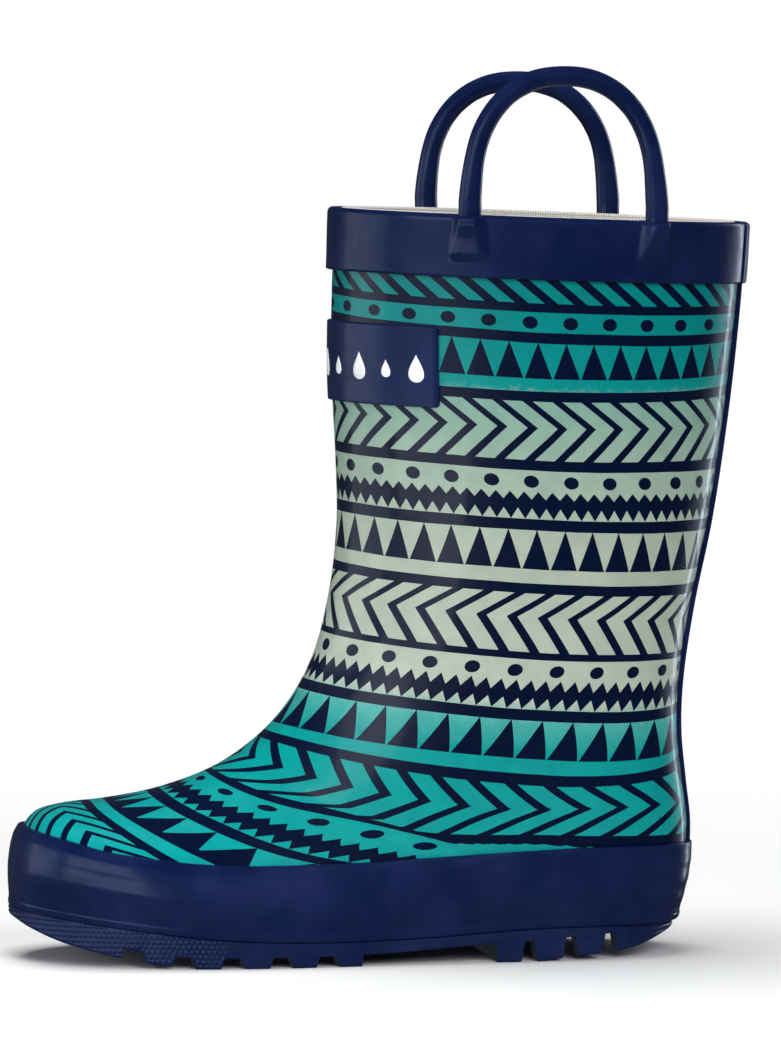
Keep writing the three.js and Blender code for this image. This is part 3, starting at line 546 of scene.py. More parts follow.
def printed_rubber():
    """The upper's finish: a dark ground with rows of light motifs, in mm round and down the boot."""
    finish = Finish("printed_rubber", Specular_IOR_Level=0.25, Coat_Weight=0.25, Coat_Roughness=0.12)
    u, v = finish.attribute("around"), finish.attribute("down")
    waver = finish.noise(45, 2) - 0.5
    u, v = u + waver * 0.7, v + waver * 0.5
    slant = (u - (v - 22.9) * 1.3 - 3.8).wave(8.3)
    foot = (u - 55).math("ABSOLUTE").spread(5, 30, 173.2, 176.4)
    light = within(v, 12, 22.9) * (slant < 0.55)
    light += within(v, 25.2, 30.4) * (1 - dot_rows(u, v, 11.4, 0, 27.9, 2.1, 1.6))
    light += spikes(u, v, 33.2, 43.4, 7.95, -0.9) + within(v, 43.4, 47.1)
    light += chevrons(u, v, 49.9, 57.1, 65.9, 8.3, 0.6, 1, 1.29, 1.1)
    light += dotted_zigzag(u, v, (68.7, 71.8, 74.6, 76.8, 79.2, 82.3), (11.2, 0), (3.97, 1.4))
    light += spikes(u, v, 85.5, 96, 7.95, 4.6) + within(v, 96, 99.9)
    light += chevrons(u, v, 102.6, 109.2, 118.6, 8.6, 4.3, -1, 1.5, 0.85)
    light += dotted_zigzag(u, v, (120.5, 123.7, 126.3, 129.3, 131.3, 134.4), (11.9, 7.3), (4.2, 0.8))
    light += spikes(u, v, 137.6, 148.4, 8.75, 0.8, lean=-1.7) + within(v, 148.4, 152)
    rise, fall = u.spread(25, 70, 1.25, 1.7), u.spread(25, 70, 1.1, 0.75)
    light += chevrons(u, v, 154.9, 162.5, foot, 10.3, -1.1, 1, rise, fall)
    light += dotted_zigzag(u, v, (181, 186, 191.2, 195, 199.2, 203.4), (13.6, 6.6), (4.7, 0.6), (2.5, 2.2))
    crowded = u * (1.25 - u.math("ABSOLUTE") * 0.006)
    light += spikes(crowded, v, 209, 222.4, 8.3, 4.3) + within(v, 225.6, 230.4)
    light += chevrons(u, v, 233.6, 240.3, 256, 7.6, 5.4, -1, 1.5, 0.8)
    mottle = finish.noise(420, 3, 0.7) - 0.5
    stops = [(at / PRINT_LENGTH, colour) for at, colour in LIGHT_INK]
    ink = finish.ramp((v + mottle * 7) / PRINT_LENGTH, stops)
    ink = finish.mix(finish.noise(150, 4).spread(0.3, 0.8, 0, 0.16), ink, rgb(6, 70, 92))
    weave = (u + v).wave(0.78) * (u - v).wave(0.78)
    ink = finish.mix(weave * 0.16, ink, rgb(10, 80, 96))
    finish.colour(finish.mix(light.math("MINIMUM", 1), INK, ink))
    finish.roughness(finish.noise(260, 4).spread(0.3, 0.7, 0.27, 0.4))
    finish.bump(finish.noise(70, 3), 0.16)
    finish.bump(weave, 0.035)
    finish.bump(light.math("MINIMUM", 1), 0.02)
    return finish.material


def woven(name, colour, painted_shade, pitch, depth):
    """Plain woven cloth, its threads running up the boot and round it, with painted shade in the grooves
    between them.
    """
    finish = Finish(name, Sheen_Weight=0.25, Sheen_Roughness=0.5, Specular_IOR_Level=0.2)
    around, down = finish.attribute("around"), finish.attribute("down")
    slub = (finish.noise(500, 3) - 0.5) * 0.5
    warp, weft = (around + slub).wave(pitch), (down + slub).wave(pitch)
    threads = warp.math("MAXIMUM", weft)
    # painted shade: the grooves between the threads are coloured darker
    finish.colour(finish.mix(threads.spread(0.45, 1.0), colour, painted_shade))
    finish.roughness(finish.noise(300, 3).spread(0.2, 0.8, 0.82, 0.98))
    finish.bump(threads * -1, depth)
    finish.bump(finish.noise(1500, 3), depth * 0.6)
    return finish.material


def fleck(name, colour, painted_shade, scale, roughness, depth):
    """Board, sponge and foam: a porous face, its pits darkened with painted shade."""
    finish = Finish(name, Specular_IOR_Level=0.25)
    cells = finish.node("ShaderNodeTexVoronoi")
    cells.inputs["Scale"].default_value = scale
    finish.tree.links.new(finish.position(), cells.inputs["Vector"])
    pores = Field(finish.tree, cells.outputs["Distance"])
    # painted shade: the pits of the pores are coloured darker
    finish.colour(finish.mix(pores.spread(0.1, 0.6), painted_shade, colour))
    finish.roughness(finish.noise(scale, 3).spread(0.2, 0.8, roughness - 0.1, roughness))
    finish.bump(pores, depth)
    return finish.material


navy_rubber = shoe_rubber("navy_rubber", NAVY, 0.33)
sole_rubber = shoe_rubber("sole_rubber", rgb(13, 24, 62), 0.36, grain=0.04)
patch_rubber = shoe_rubber("patch_rubber", rgb(12, 23, 62), 0.36)
white_ink = shoe_rubber("white_ink", rgb(232, 234, 238), 0.4)
# The second colour of each fleck and woven finish is the painted shade of its pits or grooves.
inner_rubber = fleck("inner_rubber", rgb(62, 64, 70), rgb(40, 42, 48), 700, 0.9, 0.08)
canvas = woven("lining_cloth", rgb(214, 211, 205), rgb(150, 147, 140), 0.72, 0.12)
cotton = woven("cotton_cloth", rgb(170, 176, 186), rgb(110, 116, 128), 0.6, 0.1)
board = fleck("board", rgb(176, 148, 108), rgb(136, 108, 72), 500, 0.95, 0.05)
foam = fleck("footbed_foam", rgb(150, 154, 160), rgb(96, 100, 108), 900, 0.95, 0.12)
sponge = fleck("sponge_rubber", rgb(70, 72, 78), rgb(40, 42, 46), 600, 0.95, 0.15)

# ---------------------------------------------------------------- upper and lining

# How printed rows drift from the girths, in thousandths of the fan: where a row crosses the line a
# quarter of the way round, then its drift at the front, half way, three quarters round and the back.
PRINT_DRIFT = np.array([
    (0, 0, 0, 0, 0), (31, -2, 1, 1, 0), (45, -3, 2, 2, -1), (65, -3, 1, 0, -3), (92, -1, 1, 0, -1),
    (114, -1, 0, -1, -3), (137, -2, 0, -2, -5), (196, -4, 1, -2, -8), (234, -2, -1, -6, -15),
    (244, -2, -2, -8, -19), (284, 3, -9, -21, -39), (303, 1, -11, -29, -56), (317, 2, -13, -35, -65),
    (362, 2, -23, -57, -78), (476, -15, -96, -139, -160), (497, -20, -107, -150, -170),
    (525, -20, -48, -125, -165), (560, -18, -25, -110, -158), (614, -16, -12, -100, -150),
    (640, -15, -14, -98, -148),
    (723, -6, -19, -50, -100), (744, -7, -12, -44, -84), (1000, 0, 0, 0, 0)]) / 1000
quarter_fan = np.linspace(0, 1, 1001)
quarter_line = surface(quarter_fan, np.array([-0.25]))[:, 0]
quarter_length = run_length(quarter_line)


def print_down(s, turn):
    """How far down the print is at a point, in millimetres along the line a quarter of the way round."""
    line = np.linspace(0, 1, 1501)
    out = np.empty((len(s), len(turn)))
    turns = (0, 0.25, 0.5, 0.75, 1)
    drifts = [line_through(list(zip(turns, (row[1], 0, *row[2:])))) for row in PRINT_DRIFT]
    for j, t in enumerate(np.abs(turn)):
        drift = [float(at(t)) for at in drifts]
        row = np.maximum.accumulate(line + np.interp(line, PRINT_DRIFT[:, 0], drift))
        out[:, j] = np.interp(np.interp(s, row, line), quarter_fan, quarter_length)
    return out


def fan_stations(rows):
    """Shares of the fan, evenly spaced down the boot, one of them on the heel girth."""
    s = np.interp(np.linspace(0, quarter_length[-1], rows), quarter_length, quarter_fan)
    s[np.argmin(np.abs(s - HEEL_GIRTH))] = HEEL_GIRTH
    return s


def pocket(s, turn):
    """How far the lining stands in over the toe reinforcement and the heel counter."""
    toe = smoothstep(s, 0.68, 0.713)[:, None]
    back = smoothstep(np.abs(turn), 0.571, 0.643)
    heel = (smoothstep(s, 0.2, 0.233) * (1 - smoothstep(s, 0.433, 0.467)))[:, None] * back
    return POCKET_DEPTH * np.maximum(toe, heel)


def two_faced_sheet(name, rows, columns, outer, inner, material, lift=0.0, uneven=0.0, inset=0.0):
    """The upper or its lining: the whole fan, as an outer and an inner face joined at the rim."""
    s, turn = fan_stations(rows), np.linspace(-1, 1, columns)
    sunk = inset * pocket(s, turn)
    faces = [surface(s, turn, offset - sunk) for offset in (outer, inner)]
    waviness = ripple(faces[0], 26, 3)[..., None] * uneven
    away = unit(faces[0] - faces[1])
    faces = [p + away * waviness for p in faces]
    rim = (faces[0][:1] + faces[1][:1]) / 2 + (0, 0, lift)
    p = np.concatenate([rim, faces[0], faces[1][::-1], rim])
    around = -half_length(s)[:, None] * turn
    down = print_down(s, turn)
    table = {"around": np.concatenate([around[:1], around, around[::-1], around[:1]]),
             "down": np.concatenate([down[:1], down, down[::-1], down[:1]])}
    return make_piece(name, p, grid_faces(len(p), columns), material, table, merge=False)


detail = 1.0
upper_rows, upper_columns = int(290 * detail), int(241 * detail) // 2 * 2 + 1
upper = two_faced_sheet("upper", upper_rows, upper_columns, 0, -UPPER_THICKNESS, printed_rubber(),
                        lift=0.1, uneven=0.12)
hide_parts("printed_upper")
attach(upper, "boot")
lining = two_faced_sheet("lining", int(200 * detail), 181, *LINING, canvas,
                         lift=0.5, uneven=0.1, inset=1)
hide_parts("fabric_lining")
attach(lining, "boot")

# ---------------------------------------------------------------- band, strip and patch

rim_turns = np.linspace(0, 1, 400)
rim_line = surface([0.0], rim_turns)[0]
handle_feet = [HANDLE_CENTRE - HANDLE_HALF_SPAN, HANDLE_CENTRE + HANDLE_HALF_SPAN]
feet_turns = [float(np.interp(x, rim_line[:, 0], rim_turns)) for x in handle_feet]
rim_length = float(half_length(0)[0])


def band_relief(turn, depth):
    """How far the band stands out over the handle ends and its own overlap, below the rim."""
    out = 0.06 * np.sin(turn * 31) * np.sin(depth / 3 + turn * 9)
    height = np.interp(depth, [0, 2.5, 6, 10.5, 11.8, 13], [3.7, 3.5, 2.2, 1.3, 0.55, 0])
    reach = np.interp(depth, [0, 3, 11], [2.9, 3.3, 4.6])
    for foot in feet_turns:
        away = np.abs(np.abs(turn) - foot) * rim_length
        out = out + height * (1 - smoothstep(away, reach - 1.4, reach + 1.8))
    return out + 0.55 * smoothstep(-turn, 0.915, 0.921)


def top_band():
    face_rows = 44
    depths = np.concatenate([[0, 0, 0, 0.25, 0.7], np.linspace(1.3, BAND_HEIGHT - 0.7, face_rows),
                             [BAND_HEIGHT - 0.2, BAND_HEIGHT, BAND_HEIGHT]])
    offsets = np.concatenate([[-1.6, -0.9, 1.0, 1.55, 1.85], np.full(face_rows, BAND_FACE),
                              [1.8, 1.4, -0.05]])
    lifts = np.concatenate([[0.1, 0.35, 0.4, 0.25], np.zeros(len(depths) - 4)])
    turn = np.linspace(-1, 1, int(960 * detail))
    s = np.interp(depths, [0, BAND_HEIGHT], [0, below_rim(BAND_HEIGHT)])
    relief = band_relief(turn[None, :], depths[:, None]) * smoothstep(offsets, 0.3, 1.8)[:, None]
    p = surface(s, turn, offsets[:, None] + relief)
    p[..., 2] += lifts[:, None]
    return make_piece("rim_band", p, grid_faces(len(p), len(turn)), navy_rubber)


band = top_band()
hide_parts("top_band")
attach(band, "boot")


def rows_from_end(rows):
    """How many rows each row lies from the nearer end."""
    return np.minimum(np.arange(len(rows)), np.arange(len(rows))[::-1])


def laid_strip(name, s, half_widths, face, middle, material, relief=None):
    """A strip with rounded edges laid on the upper, girth by girth, about a turn."""
    middle_columns = 61
    across = np.concatenate([[-1, -1, -0.985, -0.955], np.linspace(-0.92, 0.92, middle_columns),
                             [0.955, 0.985, 1, 1]])
    height = np.concatenate([[0, 0.5, 0.82, 0.97], np.ones(middle_columns), [0.97, 0.82, 0.5, 0]])
    rise = np.interp(rows_from_end(s), [0, 1, 2, 3], [0.03, 0.7, 0.93, 1])
    along = np.asarray(half_widths)[:, None] * across
    offset = rise[:, None] * height * face
    if relief is not None:
        offset = offset + relief(along) * (offset > face * 0.9)
    turn = middle - along / half_length(s)[:, None]
    p = surface(s, turn, offset)
    return make_piece(name, p, grid_faces(len(p), p.shape[1]), material)


def ends_spaced(low, high, rows, edge=0.25):
    """Stations from low to high, crowded at both ends so that edges can be rounded."""
    inner = np.linspace(low, high, rows)[1:-1]
    close = (high - low) / 300 * edge * np.arange(4) / 2
    return np.concatenate([low + close, inner, high - close[::-1]])


strip_s = ends_spaced(below_rim(BAND_HEIGHT - 1), girth_at_height(1, float(foxing_top(84)) - 1.5), 130)
strip_half_widths = np.full(len(strip_s), STRIP_WIDTH / 2)
strip = laid_strip("back_strip", strip_s, strip_half_widths, STRIP_FACE, 1.0, navy_rubber,
                   relief=lambda u: 0.12 * np.cos(u * 0.9))
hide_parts("back_seam_strip")
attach(strip, "boot")

patch_s = ends_spaced(girth_at_height(0, PATCH_TOP), girth_at_height(0, PATCH_BOTTOM), 40, edge=4)
corner = np.interp(rows_from_end(patch_s), [0, 1, 2, 4, 6], [1.3, 0.9, 0.6, 0.2, 0])
patch = laid_strip("front_patch", patch_s, PATCH_ARC - corner, PATCH_FACE, 0.0, patch_rubber)
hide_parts("front_label_patch")
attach(patch, "boot")


def raindrops():
    """A row of white raindrops printed on the patch, large and small by turns."""
    points, faces = [], []
    columns, spacing = 48, 9.2
    angle = np.linspace(0, 2 * np.pi, columns, endpoint=False)
    top, bottom = girth_at_height(0, PATCH_TOP), girth_at_height(0, PATCH_BOTTOM)
    for k in range(-4, 5):
        size = 3.6 if k % 2 == 0 else 2.3
        across = size * np.sin(angle) * np.sin(angle / 2) ** 1.5 * 0.92
        drop = -size * np.cos(angle) * 1.12
        rings = []
        for share, face in ((0.02, 1.32), (0.5, 1.32), (0.93, 1.31), (1.0, 1.15)):
            u = k * spacing + across * share
            depth = 0.5 + (0.6 + drop * share + (0.4 if k % 2 else 0)) / 23
            s = top + (bottom - top) * depth
            rings.append(np.array([surface([a], np.array([-b / half_length(a)[0]]), face)[0, 0]
                                   for a, b in zip(s, u)]))
        start = len(points)
        points.extend(np.concatenate(rings))
        faces.extend((grid_faces(len(rings), columns, wrap_columns=True) + start).tolist())
        faces.append([start + i for i in range(columns)])
    return make_piece("patch_raindrops", points, faces, white_ink)


drops = raindrops()
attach(drops, "boot")

# ---------------------------------------------------------------- foxing

FOXING_SECTION = [
    (-0.6, 0), (1.5, 0), (2.1, 0.012), (2.35, 0.04), (2.4, 0.08), (2.15, 0.13), (2.2, 0.3),
    (2.2, 0.5), (2.05, 0.7), (1.85, 0.88), (1.75, 0.955), (1.55, 0.99), (1.2, 1),
    (-0.6, 1)]  # (offset, share of the height)


def foxing():
    columns = int(720 * detail) // 2 * 2
    steps = 8  # from the bottom to the top of the wall it lies on
    walls = [wall_loop(lambda x, a=a: foxing_bottom(x) * (1 - a) + foxing_top(x) * a, columns)
             for a in np.linspace(0, 1, steps + 1)]
    places = np.stack([w[0] for w in walls])
    normals = np.stack([w[1] for w in walls])
    knots = catmull_rom(FOXING_SECTION[1:-1], steps=7)
    section = np.vstack([FOXING_SECTION[:1], knots, FOXING_SECTION[-1:]])
    rings = []
    for offset, share in section:
        share = min(max(share, 0), 1)
        k = min(int(share * steps), steps - 1)
        u = share * steps - k
        p = places[k] * (1 - u) + places[k + 1] * u
        n = normals[k] * (1 - u) + normals[k + 1] * u
        ridges = 0.05 * np.sin(share * 26) * smoothstep(p[:, 0], 50, 78)
        at_toe = smoothstep(-p[:, 0], 50, 75) * smoothstep(p[:, 0], -101, -90)
        ridges += 0.16 * np.sin(share * 17) * at_toe
        unevenness = 0.12 * ripple(p, 34, 8) * (offset > 1)
        rings.append(swung(p + n * (offset + ridges * (0.05 < share < 0.93) + unevenness)[:, None]))
    p = np.stack(rings)
    faces = grid_faces(len(p), columns, wrap_rows=True, wrap_columns=True)
    return make_piece("foxing", p, faces, navy_rubber)


foxing_piece = foxing()
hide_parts("foxing_band")
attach(foxing_piece, "boot")

# ---------------------------------------------------------------- outsole

TREAD_LINE = [
    (-106, 13.8), (-100, 9.8), (-92, 6.5), (-82, 3.9), (-73, 2.1), (-64, 0.8), (-55, 0.02),
    (-45, 0.02), (30, 0.02), (38, 0.02), (50, 1), (60, 2), (68, 3), (73, 4.4), (78, 6), (84, 7.4), (92, 8)]
BASE_LINE = [
    (-79, 6), (-73, 4.9), (-60, 3.2), (-45, 2.9), (-10, 3.1), (28, 5.2), (44, 6.2), (60, 7.2), (70, 7.8)]
SHANK = (-9.9, 28.3)
LUG_DEPTH = 8
# Gaps between the lugs, as (centre, width at the bottom, width at the top).
NOTCHES = [(x, 6.8, 4.4) for x in (-73.3, -59.8, -46.4, -32.8, -19.8)]
NOTCHES += [(x, 4.8, 2.4) for x in (37.6, 49.4, 60.8)]
HEEL_BAR_END = 35.2
RIB_PLACES = (-66, -53, -40, -27, 40, 52)
RIB_REACH, RIB_HEIGHT = 15, 1.2
PEBBLED_TOE, PEBBLED_HEEL = -44, 52  # where the pebbles begin
PEBBLE_PITCH, PEBBLE_RADIUS, PEBBLE_HEIGHT = 1.55, 0.66, 0.4
SOLE_GAP = 0.1  # the seam between the foxing and the outsole


def half_outline(loop):
    """x and half width of the first half of a plan loop, from toe to heel."""
    p = loop[:len(loop) // 2 + 1]
    p = p[np.maximum.accumulate(p[:, 0]) == p[:, 0]]
    return p[:, 0], np.maximum(p[:, 1], 0)


def sole_outline(inset):
    """Half the outline of the sole before the toe's swing, as x and half width, drawn in."""
    loop, normal = wall_loop(feather_height, 2 * 360)
    reach = 2.1 - 1.6 * smoothstep(loop[:, 0], 50, 80) - inset
    return half_outline(loop + normal * reach[:, None])


def sole_stations(outline_x, outline_width):
    """x along the sole: close at the pebbled toe and heel, and in pairs where lugs begin and end."""
    length = run_length(np.stack([outline_x, outline_width], 1))
    toe, heel = outline_x[0], outline_x[-1]
    fine = np.interp(np.arange(0, length[-1], 0.3 / detail), length, outline_x)
    x = list(fine[(fine < PEBBLED_TOE) | (fine > PEBBLED_HEEL)])
    x += list(np.arange(PEBBLED_TOE, PEBBLED_HEEL, 0.6 / detail))
    for centre, wide, narrow in NOTCHES:
        for side in (-1, 1):
            for shift in (-0.35, -0.2, 0, 0.2, 0.35):
                x += [centre + side * wide / 2 + shift, centre + side * narrow / 2 + shift]
    for edge in (*SHANK, HEEL_BAR_END):
        x += [edge + d for d in (-0.5, -0.25, -0.1, 0.1, 0.25, 0.5)]
    x = np.unique(np.round([q for q in x if toe <= q <= heel], 2))
    return np.concatenate([[toe], x[(x > toe + 0.004) & (x < heel - 0.004)], [heel]])


def pebbled(wall, sign, x, low):
    """A side wall of the sole (stations, rows, 3) with domes on it, strongest at toe and heel."""
    edge = wall[:, 0, :2]
    length = run_length(edge)
    step = np.gradient(edge, axis=0)
    normal = unit(np.stack([-step[:, 1], step[:, 0]], 1) * sign)
    row_height = PEBBLE_PITCH * 0.87
    row = np.floor(wall[..., 2] / row_height)
    cell = (length[:, None] + row * PEBBLE_PITCH / 2) / PEBBLE_PITCH
    across = (cell - np.round(cell)) * PEBBLE_PITCH
    up = wall[..., 2] - (row + 0.5) * row_height
    jitter = 0.03 * np.sin(row * 7.3 + np.round(cell) * 5.1)
    away = ((across + jitter) ** 2 + (up - jitter) ** 2) / PEBBLE_RADIUS ** 2
    dome = np.maximum(1 - away, 0) ** 1.5
    strength = np.maximum(smoothstep(-x, -PEBBLED_TOE, 60), smoothstep(x, 54, 64))[:, None] * 0.8 + 0.2
    fade = smoothstep(wall[..., 2], low[:, None] + 0.2, low[:, None] + 0.8)
    lifted = wall.copy()
    lifted[..., :2] += normal[:, None] * (PEBBLE_HEIGHT * dome * strength * fade)[..., None]
    return lifted


def between(x, low, high):
    """1 between two edges and 0 outside them, with short slopes."""
    return smoothstep(x, low - 0.3, low + 0.3) * (1 - smoothstep(x, high - 0.3, high + 0.3))


def outsole():
    """The sole: lugs round a hollow with low slanted ribs, gaps between the lugs, pebbled walls."""
    out_x, out_w = sole_outline(0)
    in_x, in_w = sole_outline(LUG_DEPTH)
    tread, base = line_through(TREAD_LINE), line_through(BASE_LINE)
    x = sole_stations(out_x, out_w)
    width = np.interp(x, out_x, out_w)
    width[[0, -1]] = 0
    hollow = np.interp(x, in_x, in_w, left=0, right=0)
    hollow = np.minimum(hollow, width * 0.97)
    share = np.concatenate([np.linspace(0, 0.94, 24), [0.975, 1.0]])
    rim = np.concatenate([[0.04, 0.1], np.linspace(0.2, 0.9, 9), [0.95, 0.985, 1.0]])
    half = np.concatenate([hollow[:, None] * share, hollow[:, None] + (width - hollow)[:, None] * rim], 1)
    in_hollow = np.concatenate([np.ones(len(share)), np.zeros(len(rim))])
    under, low = base(x), np.maximum(tread(x), 0.02)
    depth = np.maximum(under - low, 0)
    cut = np.zeros_like(x)
    for centre, wide, narrow in NOTCHES:
        away = np.abs(x - centre)
        wall = (wide - narrow) / 2
        cut = np.maximum(cut, 1 - smoothstep(away, narrow / 2 - 0.05, narrow / 2 + wall + 0.05))
    cut = np.maximum(cut, between(x, *SHANK))[:, None]
    has_hollow = smoothstep(x, NOTCHES[0][0] - 3.6, NOTCHES[0][0] - 3.2) * (1 - smoothstep(x, 70, 74))
    heel_bar = between(x, SHANK[1], HEEL_BAR_END)
    opened = (has_hollow * (1 - heel_bar))[:, None] * in_hollow
    ribs = np.zeros_like(half)
    for place in RIB_PLACES:
        along = x[:, None] - place - np.minimum(half, RIB_REACH) * 0.4
        rib = smoothstep(along, -0.2, 0.4) * (1 - smoothstep(along, 3.2, 3.8))
        ribs = np.maximum(ribs, rib * (half < RIB_REACH))
    has_hollow, depth = has_hollow[:, None], depth[:, None]
    raised = np.maximum(cut * has_hollow + cut * (1 - has_hollow) * 0.9, opened)
    z = low[:, None] + depth * raised
    clear = np.maximum(cut, opened)
    z = np.where(clear > 0.5, z - RIB_HEIGHT * ribs * np.minimum(clear, 1) * (depth > 1.3), z)
    z = z + np.concatenate([np.zeros(len(share) + len(rim) - 3), [0.05, 0.2, 0.5]])
    side = np.stack([np.repeat(x[:, None], half.shape[1], 1), half, z], -1)
    bottom = np.concatenate([side[:, ::-1] * (1, -1, 1), side[:, 1:]], 1)
    top_z = foxing_bottom(x) - SOLE_GAP
    columns = 9
    top = np.stack([np.repeat(x[:, None], columns, 1), width[:, None] * np.linspace(-1, 1, columns),
                    np.repeat(top_z[:, None], columns, 1)], -1)
    up = np.linspace(0, 1, 2 + int(30 * detail))[1:-1, None]
    walls = [pebbled(bottom[:, end, None] * (1 - up) + top[:, end, None] * up, sign, x, low)
             for end, sign in ((-1, 1), (0, -1))]
    loop = np.concatenate([bottom, walls[0], top[:, ::-1], walls[1][:, ::-1]], 1)
    faces = grid_faces(len(x), loop.shape[1], wrap_columns=True)
    return make_piece("outsole_rubber", swung(loop), faces, sole_rubber)


sole = outsole()
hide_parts("outsole")
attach(sole, "boot")

# ---------------------------------------------------------------- handles


def hinge_point(x, side):
    """Where a handle's rod bends, above the rim at x on a side (-1 outer, 1 inner)."""
    turn = np.array([float(np.interp(x, rim_line[:, 0], rim_turns)) * side])
    point, out = (surface([0.0], turn, offset)[0, 0] for offset in (0.0, 1.0))
    normal = (out - point) * (1, 1, 0)
    return point + normal / np.linalg.norm(normal) * HANDLE_STANDOFF + (0, 0, HINGE_RISE)


def handle(side, name):
    """A rod from under the band, over the arch and down under the band, with its mould flash."""
    front, back = (hinge_point(x, side) for x in handle_feet)
    share = np.arange(13) / 12
    cosine, sine = np.cos(np.pi * share), np.abs(np.sin(np.pi * share))
    across = np.sign(cosine) * np.abs(cosine) ** HANDLE_SQUARENESS
    arch_height = HANDLE_ARCH_BASE + HANDLE_ARCH_RISE[side] * sine ** HANDLE_SQUARENESS
    arch_x = HANDLE_CENTRE - HANDLE_HALF_SPAN * across
    arch = np.stack([arch_x, front[1] + (back[1] - front[1]) * share, arch_height], 1)
    below = [(0, 1.9 * side, 9.5), (0, 0.7 * side, 6.5), (0, 0.1 * side, 3)]
    path = [*(front - b for b in below), front, *arch[1:-1], back, *(back - b for b in below[::-1])]
    path = catmull_rom(path, steps=int(22 * detail))
    tangent = unit(np.gradient(path, axis=0))
    inward = unit(np.cross(tangent, (0, 1, 0)))
    aside = np.cross(tangent, inward)
    columns = 56
    angle = np.linspace(0, 2 * np.pi, columns, endpoint=False)
    rng = np.random.default_rng(11 + side)
    ragged = np.convolve(rng.uniform(0.3, 1, len(path) + 8), np.ones(9) / 9, "valid")
    inner_ridge = np.exp(-(((angle - np.pi) / 0.1) ** 2))
    outer_ridge = np.exp(-((np.minimum(angle, 2 * np.pi - angle) / 0.1) ** 2))
    flash = 0.3 * ragged[:, None] * inner_ridge + 0.12 * outer_ridge
    low = smoothstep(-path[:, 2], -226, -209)[:, None]
    radius = HANDLE_RADIUS - 0.2 + flash + 0.45 * low * np.abs(np.cos(angle))
    radius = radius + 0.04 * ripple(path, 14, 5)[:, None]
    p = path[:, None] + inward[:, None] * (radius * np.cos(angle))[..., None]
    p = p + aside[:, None] * (radius * np.sin(angle))[..., None]
    return make_piece(name, p, tube_faces(len(path), columns), navy_rubber)


for side, body in ((-1, "outer_handle"), (1, "inner_handle")):
    rod = handle(side, body + "_rod")
    hinge = hinge_point(handle_feet[0], side)
    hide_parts(body + "_loop", body + "_front_anchor", body + "_back_anchor")
    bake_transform(rod)

# ---------------------------------------------------------------- footbed

# From the upper's outer face to the inside of the lining, with a clearance.
INSIDE_WALL = UPPER_THICKNESS + 0.45 + POCKET_DEPTH + 0.9 + LAYER_GAP + 1
FOOTBED_ROWS, FOOTBED_COLUMNS = 151, 71


def footbed_bottom(x):
    filler = 1.8 + 1.4 * smoothstep(x, -5, 45)
    return foxing_bottom(x) + 0.1 + filler + LAYER_GAP + BOARD_THICKNESS + LAYER_GAP


def footbed_layer(name, low, thickness, material, dish):
    """One layer of the footbed, dished at the heel, with soft edges and the dent of a worn sole."""
    loop, normal = wall_loop(lambda x: feather_height(x) + 5, 2 * (FOOTBED_ROWS - 1))
    x, width = half_outline(loop - normal * (INSIDE_WALL + 0.8))
    across = np.sin(np.linspace(-np.pi / 2, np.pi / 2, FOOTBED_COLUMNS))
    y = width[:, None] * across
    xs = np.repeat(x[:, None], FOOTBED_COLUMNS, 1)
    cup = 3 * smoothstep(xs, 0, 55) * np.hypot(np.maximum(xs - 50, 0) / 28, y / 23) ** 3
    ball = np.exp(-(((xs + 45) / 26) ** 2) - ((y / 20) ** 2))
    heel = np.exp(-(((xs - 52) / 17) ** 2) - ((y / 13) ** 2))
    edge = np.sqrt(np.maximum(1 - np.abs(across) ** 14, 0)) * np.minimum((xs - x[0]) / 1.2 + 0.1, 1)
    bottom = footbed_bottom(xs) + low + cup * dish
    top = footbed_bottom(xs) + low + 0.35 * thickness + cup + 0.65 * thickness * edge
    top = top - 0.35 * (ball + heel)
    top = np.maximum(top, bottom + 0.15)
    faces = [np.stack([xs, y, z], -1) for z in (top, bottom)]
    ring = np.concatenate([faces[0], faces[1][:, ::-1]], 1)
    table = {"around": ring[..., 1], "down": ring[..., 0]}
    return make_piece(name, swung(ring), tube_faces(len(x), 2 * FOOTBED_COLUMNS), material, table)


footbed_pad = footbed_layer("footbed_pad", 0, 4, foam, 0)
footbed_top = footbed_layer("footbed_top", 4.1, 0.9, cotton, 1)
for piece, slot, node in ((footbed_pad, "footbed_foam", "footbed_foam"),
                          (footbed_top, "cotton_cloth", "footbed_cover")):
    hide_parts(node)
    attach(piece, "footbed")

# ---------------------------------------------------------------- CAD nodes that stay as they are

for node, material in (("insole_board", board), ("midsole_filler", sponge), ("heel_filler", sponge),
                       ("toe_reinforcement", inner_rubber), ("heel_counter", inner_rubber)):
    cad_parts[node].data.materials.clear()
    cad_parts[node].data.materials.append(material)

# ---------------------------------------------------------------- studio


def pale_floor():
    """A pale floor disc that fades into the white surround."""
    finish = Finish("floor", Base_Color=rgb(250, 250, 250), Roughness=0.55, Specular_IOR_Level=0.2)
    away = finish.node("ShaderNodeVectorMath", operation="LENGTH")
    finish.tree.links.new(finish.position(), away.inputs[0])
    fade = Field(finish.tree, away.outputs["Value"]).spread(0.16, 0.55, 1, 0)
    finish.tree.links.new(fade.socket, finish.shader.inputs["Alpha"])
    finish.bump(finish.noise(40, 2), 0.02)
    columns = 96
    angle = np.linspace(0, 2 * np.pi, columns, endpoint=False)
    rings = [np.stack([r * np.cos(angle), r * np.sin(angle), 0 * angle], 1)
             for r in (1, 60, 200, 500, 900, 1250)]
    faces = grid_faces(len(rings), columns, wrap_columns=True).tolist() + [list(range(columns))]
    floor = make_piece("floor", np.stack(rings), faces, finish.material)
    if floor.data.polygons[0].normal.z < 0:
        floor.data.flip_normals()
    return floor


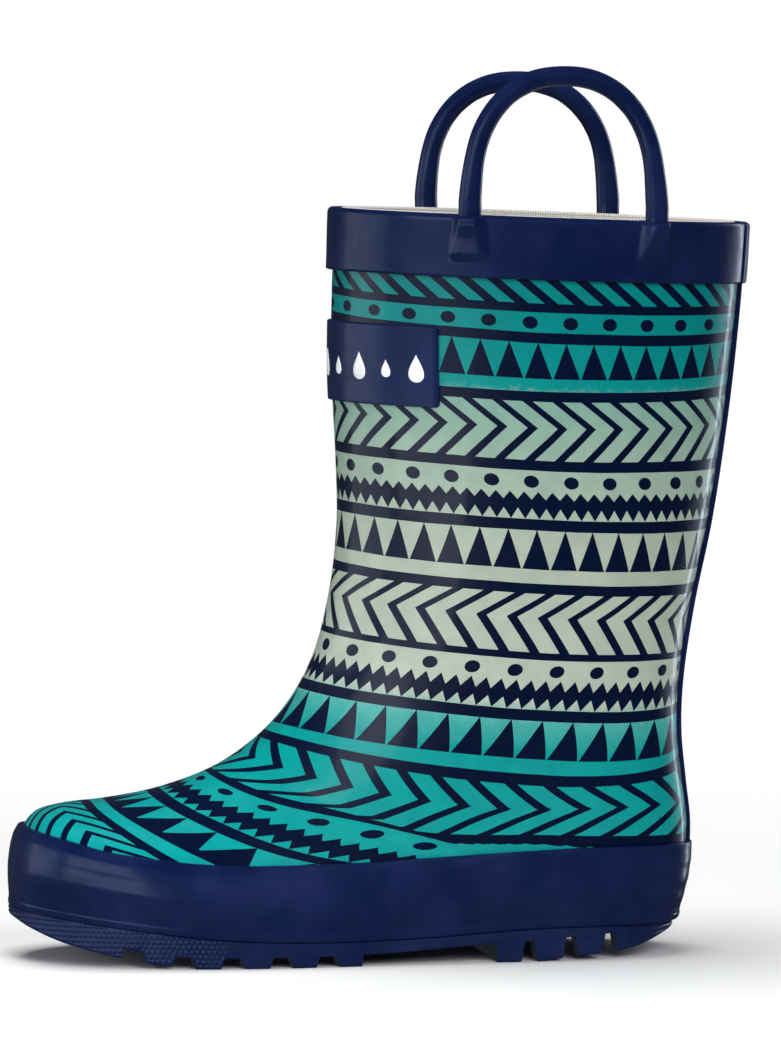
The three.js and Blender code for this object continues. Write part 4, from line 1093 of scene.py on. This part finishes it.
def softbox(name, place, aim, size, power, colour, glossy=True):
    light = bpy.data.lights.new(name, "AREA")
    light.shape, light.size, light.size_y = "RECTANGLE", size[0], size[1]
    light.energy, light.color = power, colour
    lamp = bpy.data.objects.new(name, light)
    bpy.context.scene.collection.objects.link(lamp)
    lamp.location, lamp.visible_glossy, lamp.visible_camera = place, glossy, False
    lamp.rotation_euler = (Vector(aim) - Vector(place)).to_track_quat("-Z", "Y").to_euler()


floor = pale_floor()
floor.visible_glossy = False
softbox("key", (-1.25, -1.4, 0.65), (-0.05, 0, 0.05), (1.5, 0.8), 8, (0.97, 0.98, 1))
softbox("card", (-0.38, -0.37, 0.015), (-0.08, -0.03, 0.02), (0.45, 0.11), 0.4, (0.95, 0.97, 1))
softbox("side", (-1.58, 0.25, 0.25), (0, 0, 0.1), (1.3, 0.9), 5, (0.92, 0.96, 1))
softbox("fill", (0.5, -2.3, 1.2), (0, 0, 0.1), (1.6, 1.4), 46, (1, 1, 1), glossy=False)
softbox("overhead", (-0.2, 0.1, 1.6), (0, 0, 0.1), (1.2, 1.0), 24, (1, 1, 1), glossy=False)
softbox("edge", (1.25, 1.05, 0.3), (0.05, 0, 0.12), (0.2, 1.2), 5, (0.75, 0.86, 1))


def surround():
    """A dim white surround that the camera sees as white."""
    world = bpy.data.worlds.new("surround")
    world.use_nodes = True
    nodes, links = world.node_tree.nodes, world.node_tree.links
    dim, seen = nodes["Background"], nodes.new("ShaderNodeBackground")
    dim.inputs["Color"].default_value = (0.9, 0.95, 1, 1)
    dim.inputs["Strength"].default_value = 0.05
    seen.inputs["Strength"].default_value = 1.0
    seen.inputs["Color"].default_value = (1, 1, 1, 1)
    mix, path = nodes.new("ShaderNodeMixShader"), nodes.new("ShaderNodeLightPath")
    links.new(path.outputs["Is Camera Ray"], mix.inputs[0])
    links.new(dim.outputs[0], mix.inputs[1])
    links.new(seen.outputs[0], mix.inputs[2])
    links.new(mix.outputs[0], nodes["World Output"].inputs[0])
    return world


scene = bpy.context.scene
scene.world = surround()
scene.view_settings.view_transform = "Standard"
scene.view_settings.look = "None"

azimuth, elevation, distance = math.radians(-9), math.radians(3.6), 2.4
target = Vector((0.003, 0, 0.121))
camera_data = bpy.data.cameras.new("camera")
camera_data.sensor_width = 36
camera_data.lens = 36 * distance / 0.2926
camera = bpy.data.objects.new("camera", camera_data)
scene.collection.objects.link(camera)
camera.location = target + distance * Vector((
    math.sin(azimuth) * math.cos(elevation), -math.cos(azimuth) * math.cos(elevation), math.sin(elevation)))
camera.rotation_euler = (target - camera.location).to_track_quat("-Z", "Y").to_euler()
scene.camera = camera
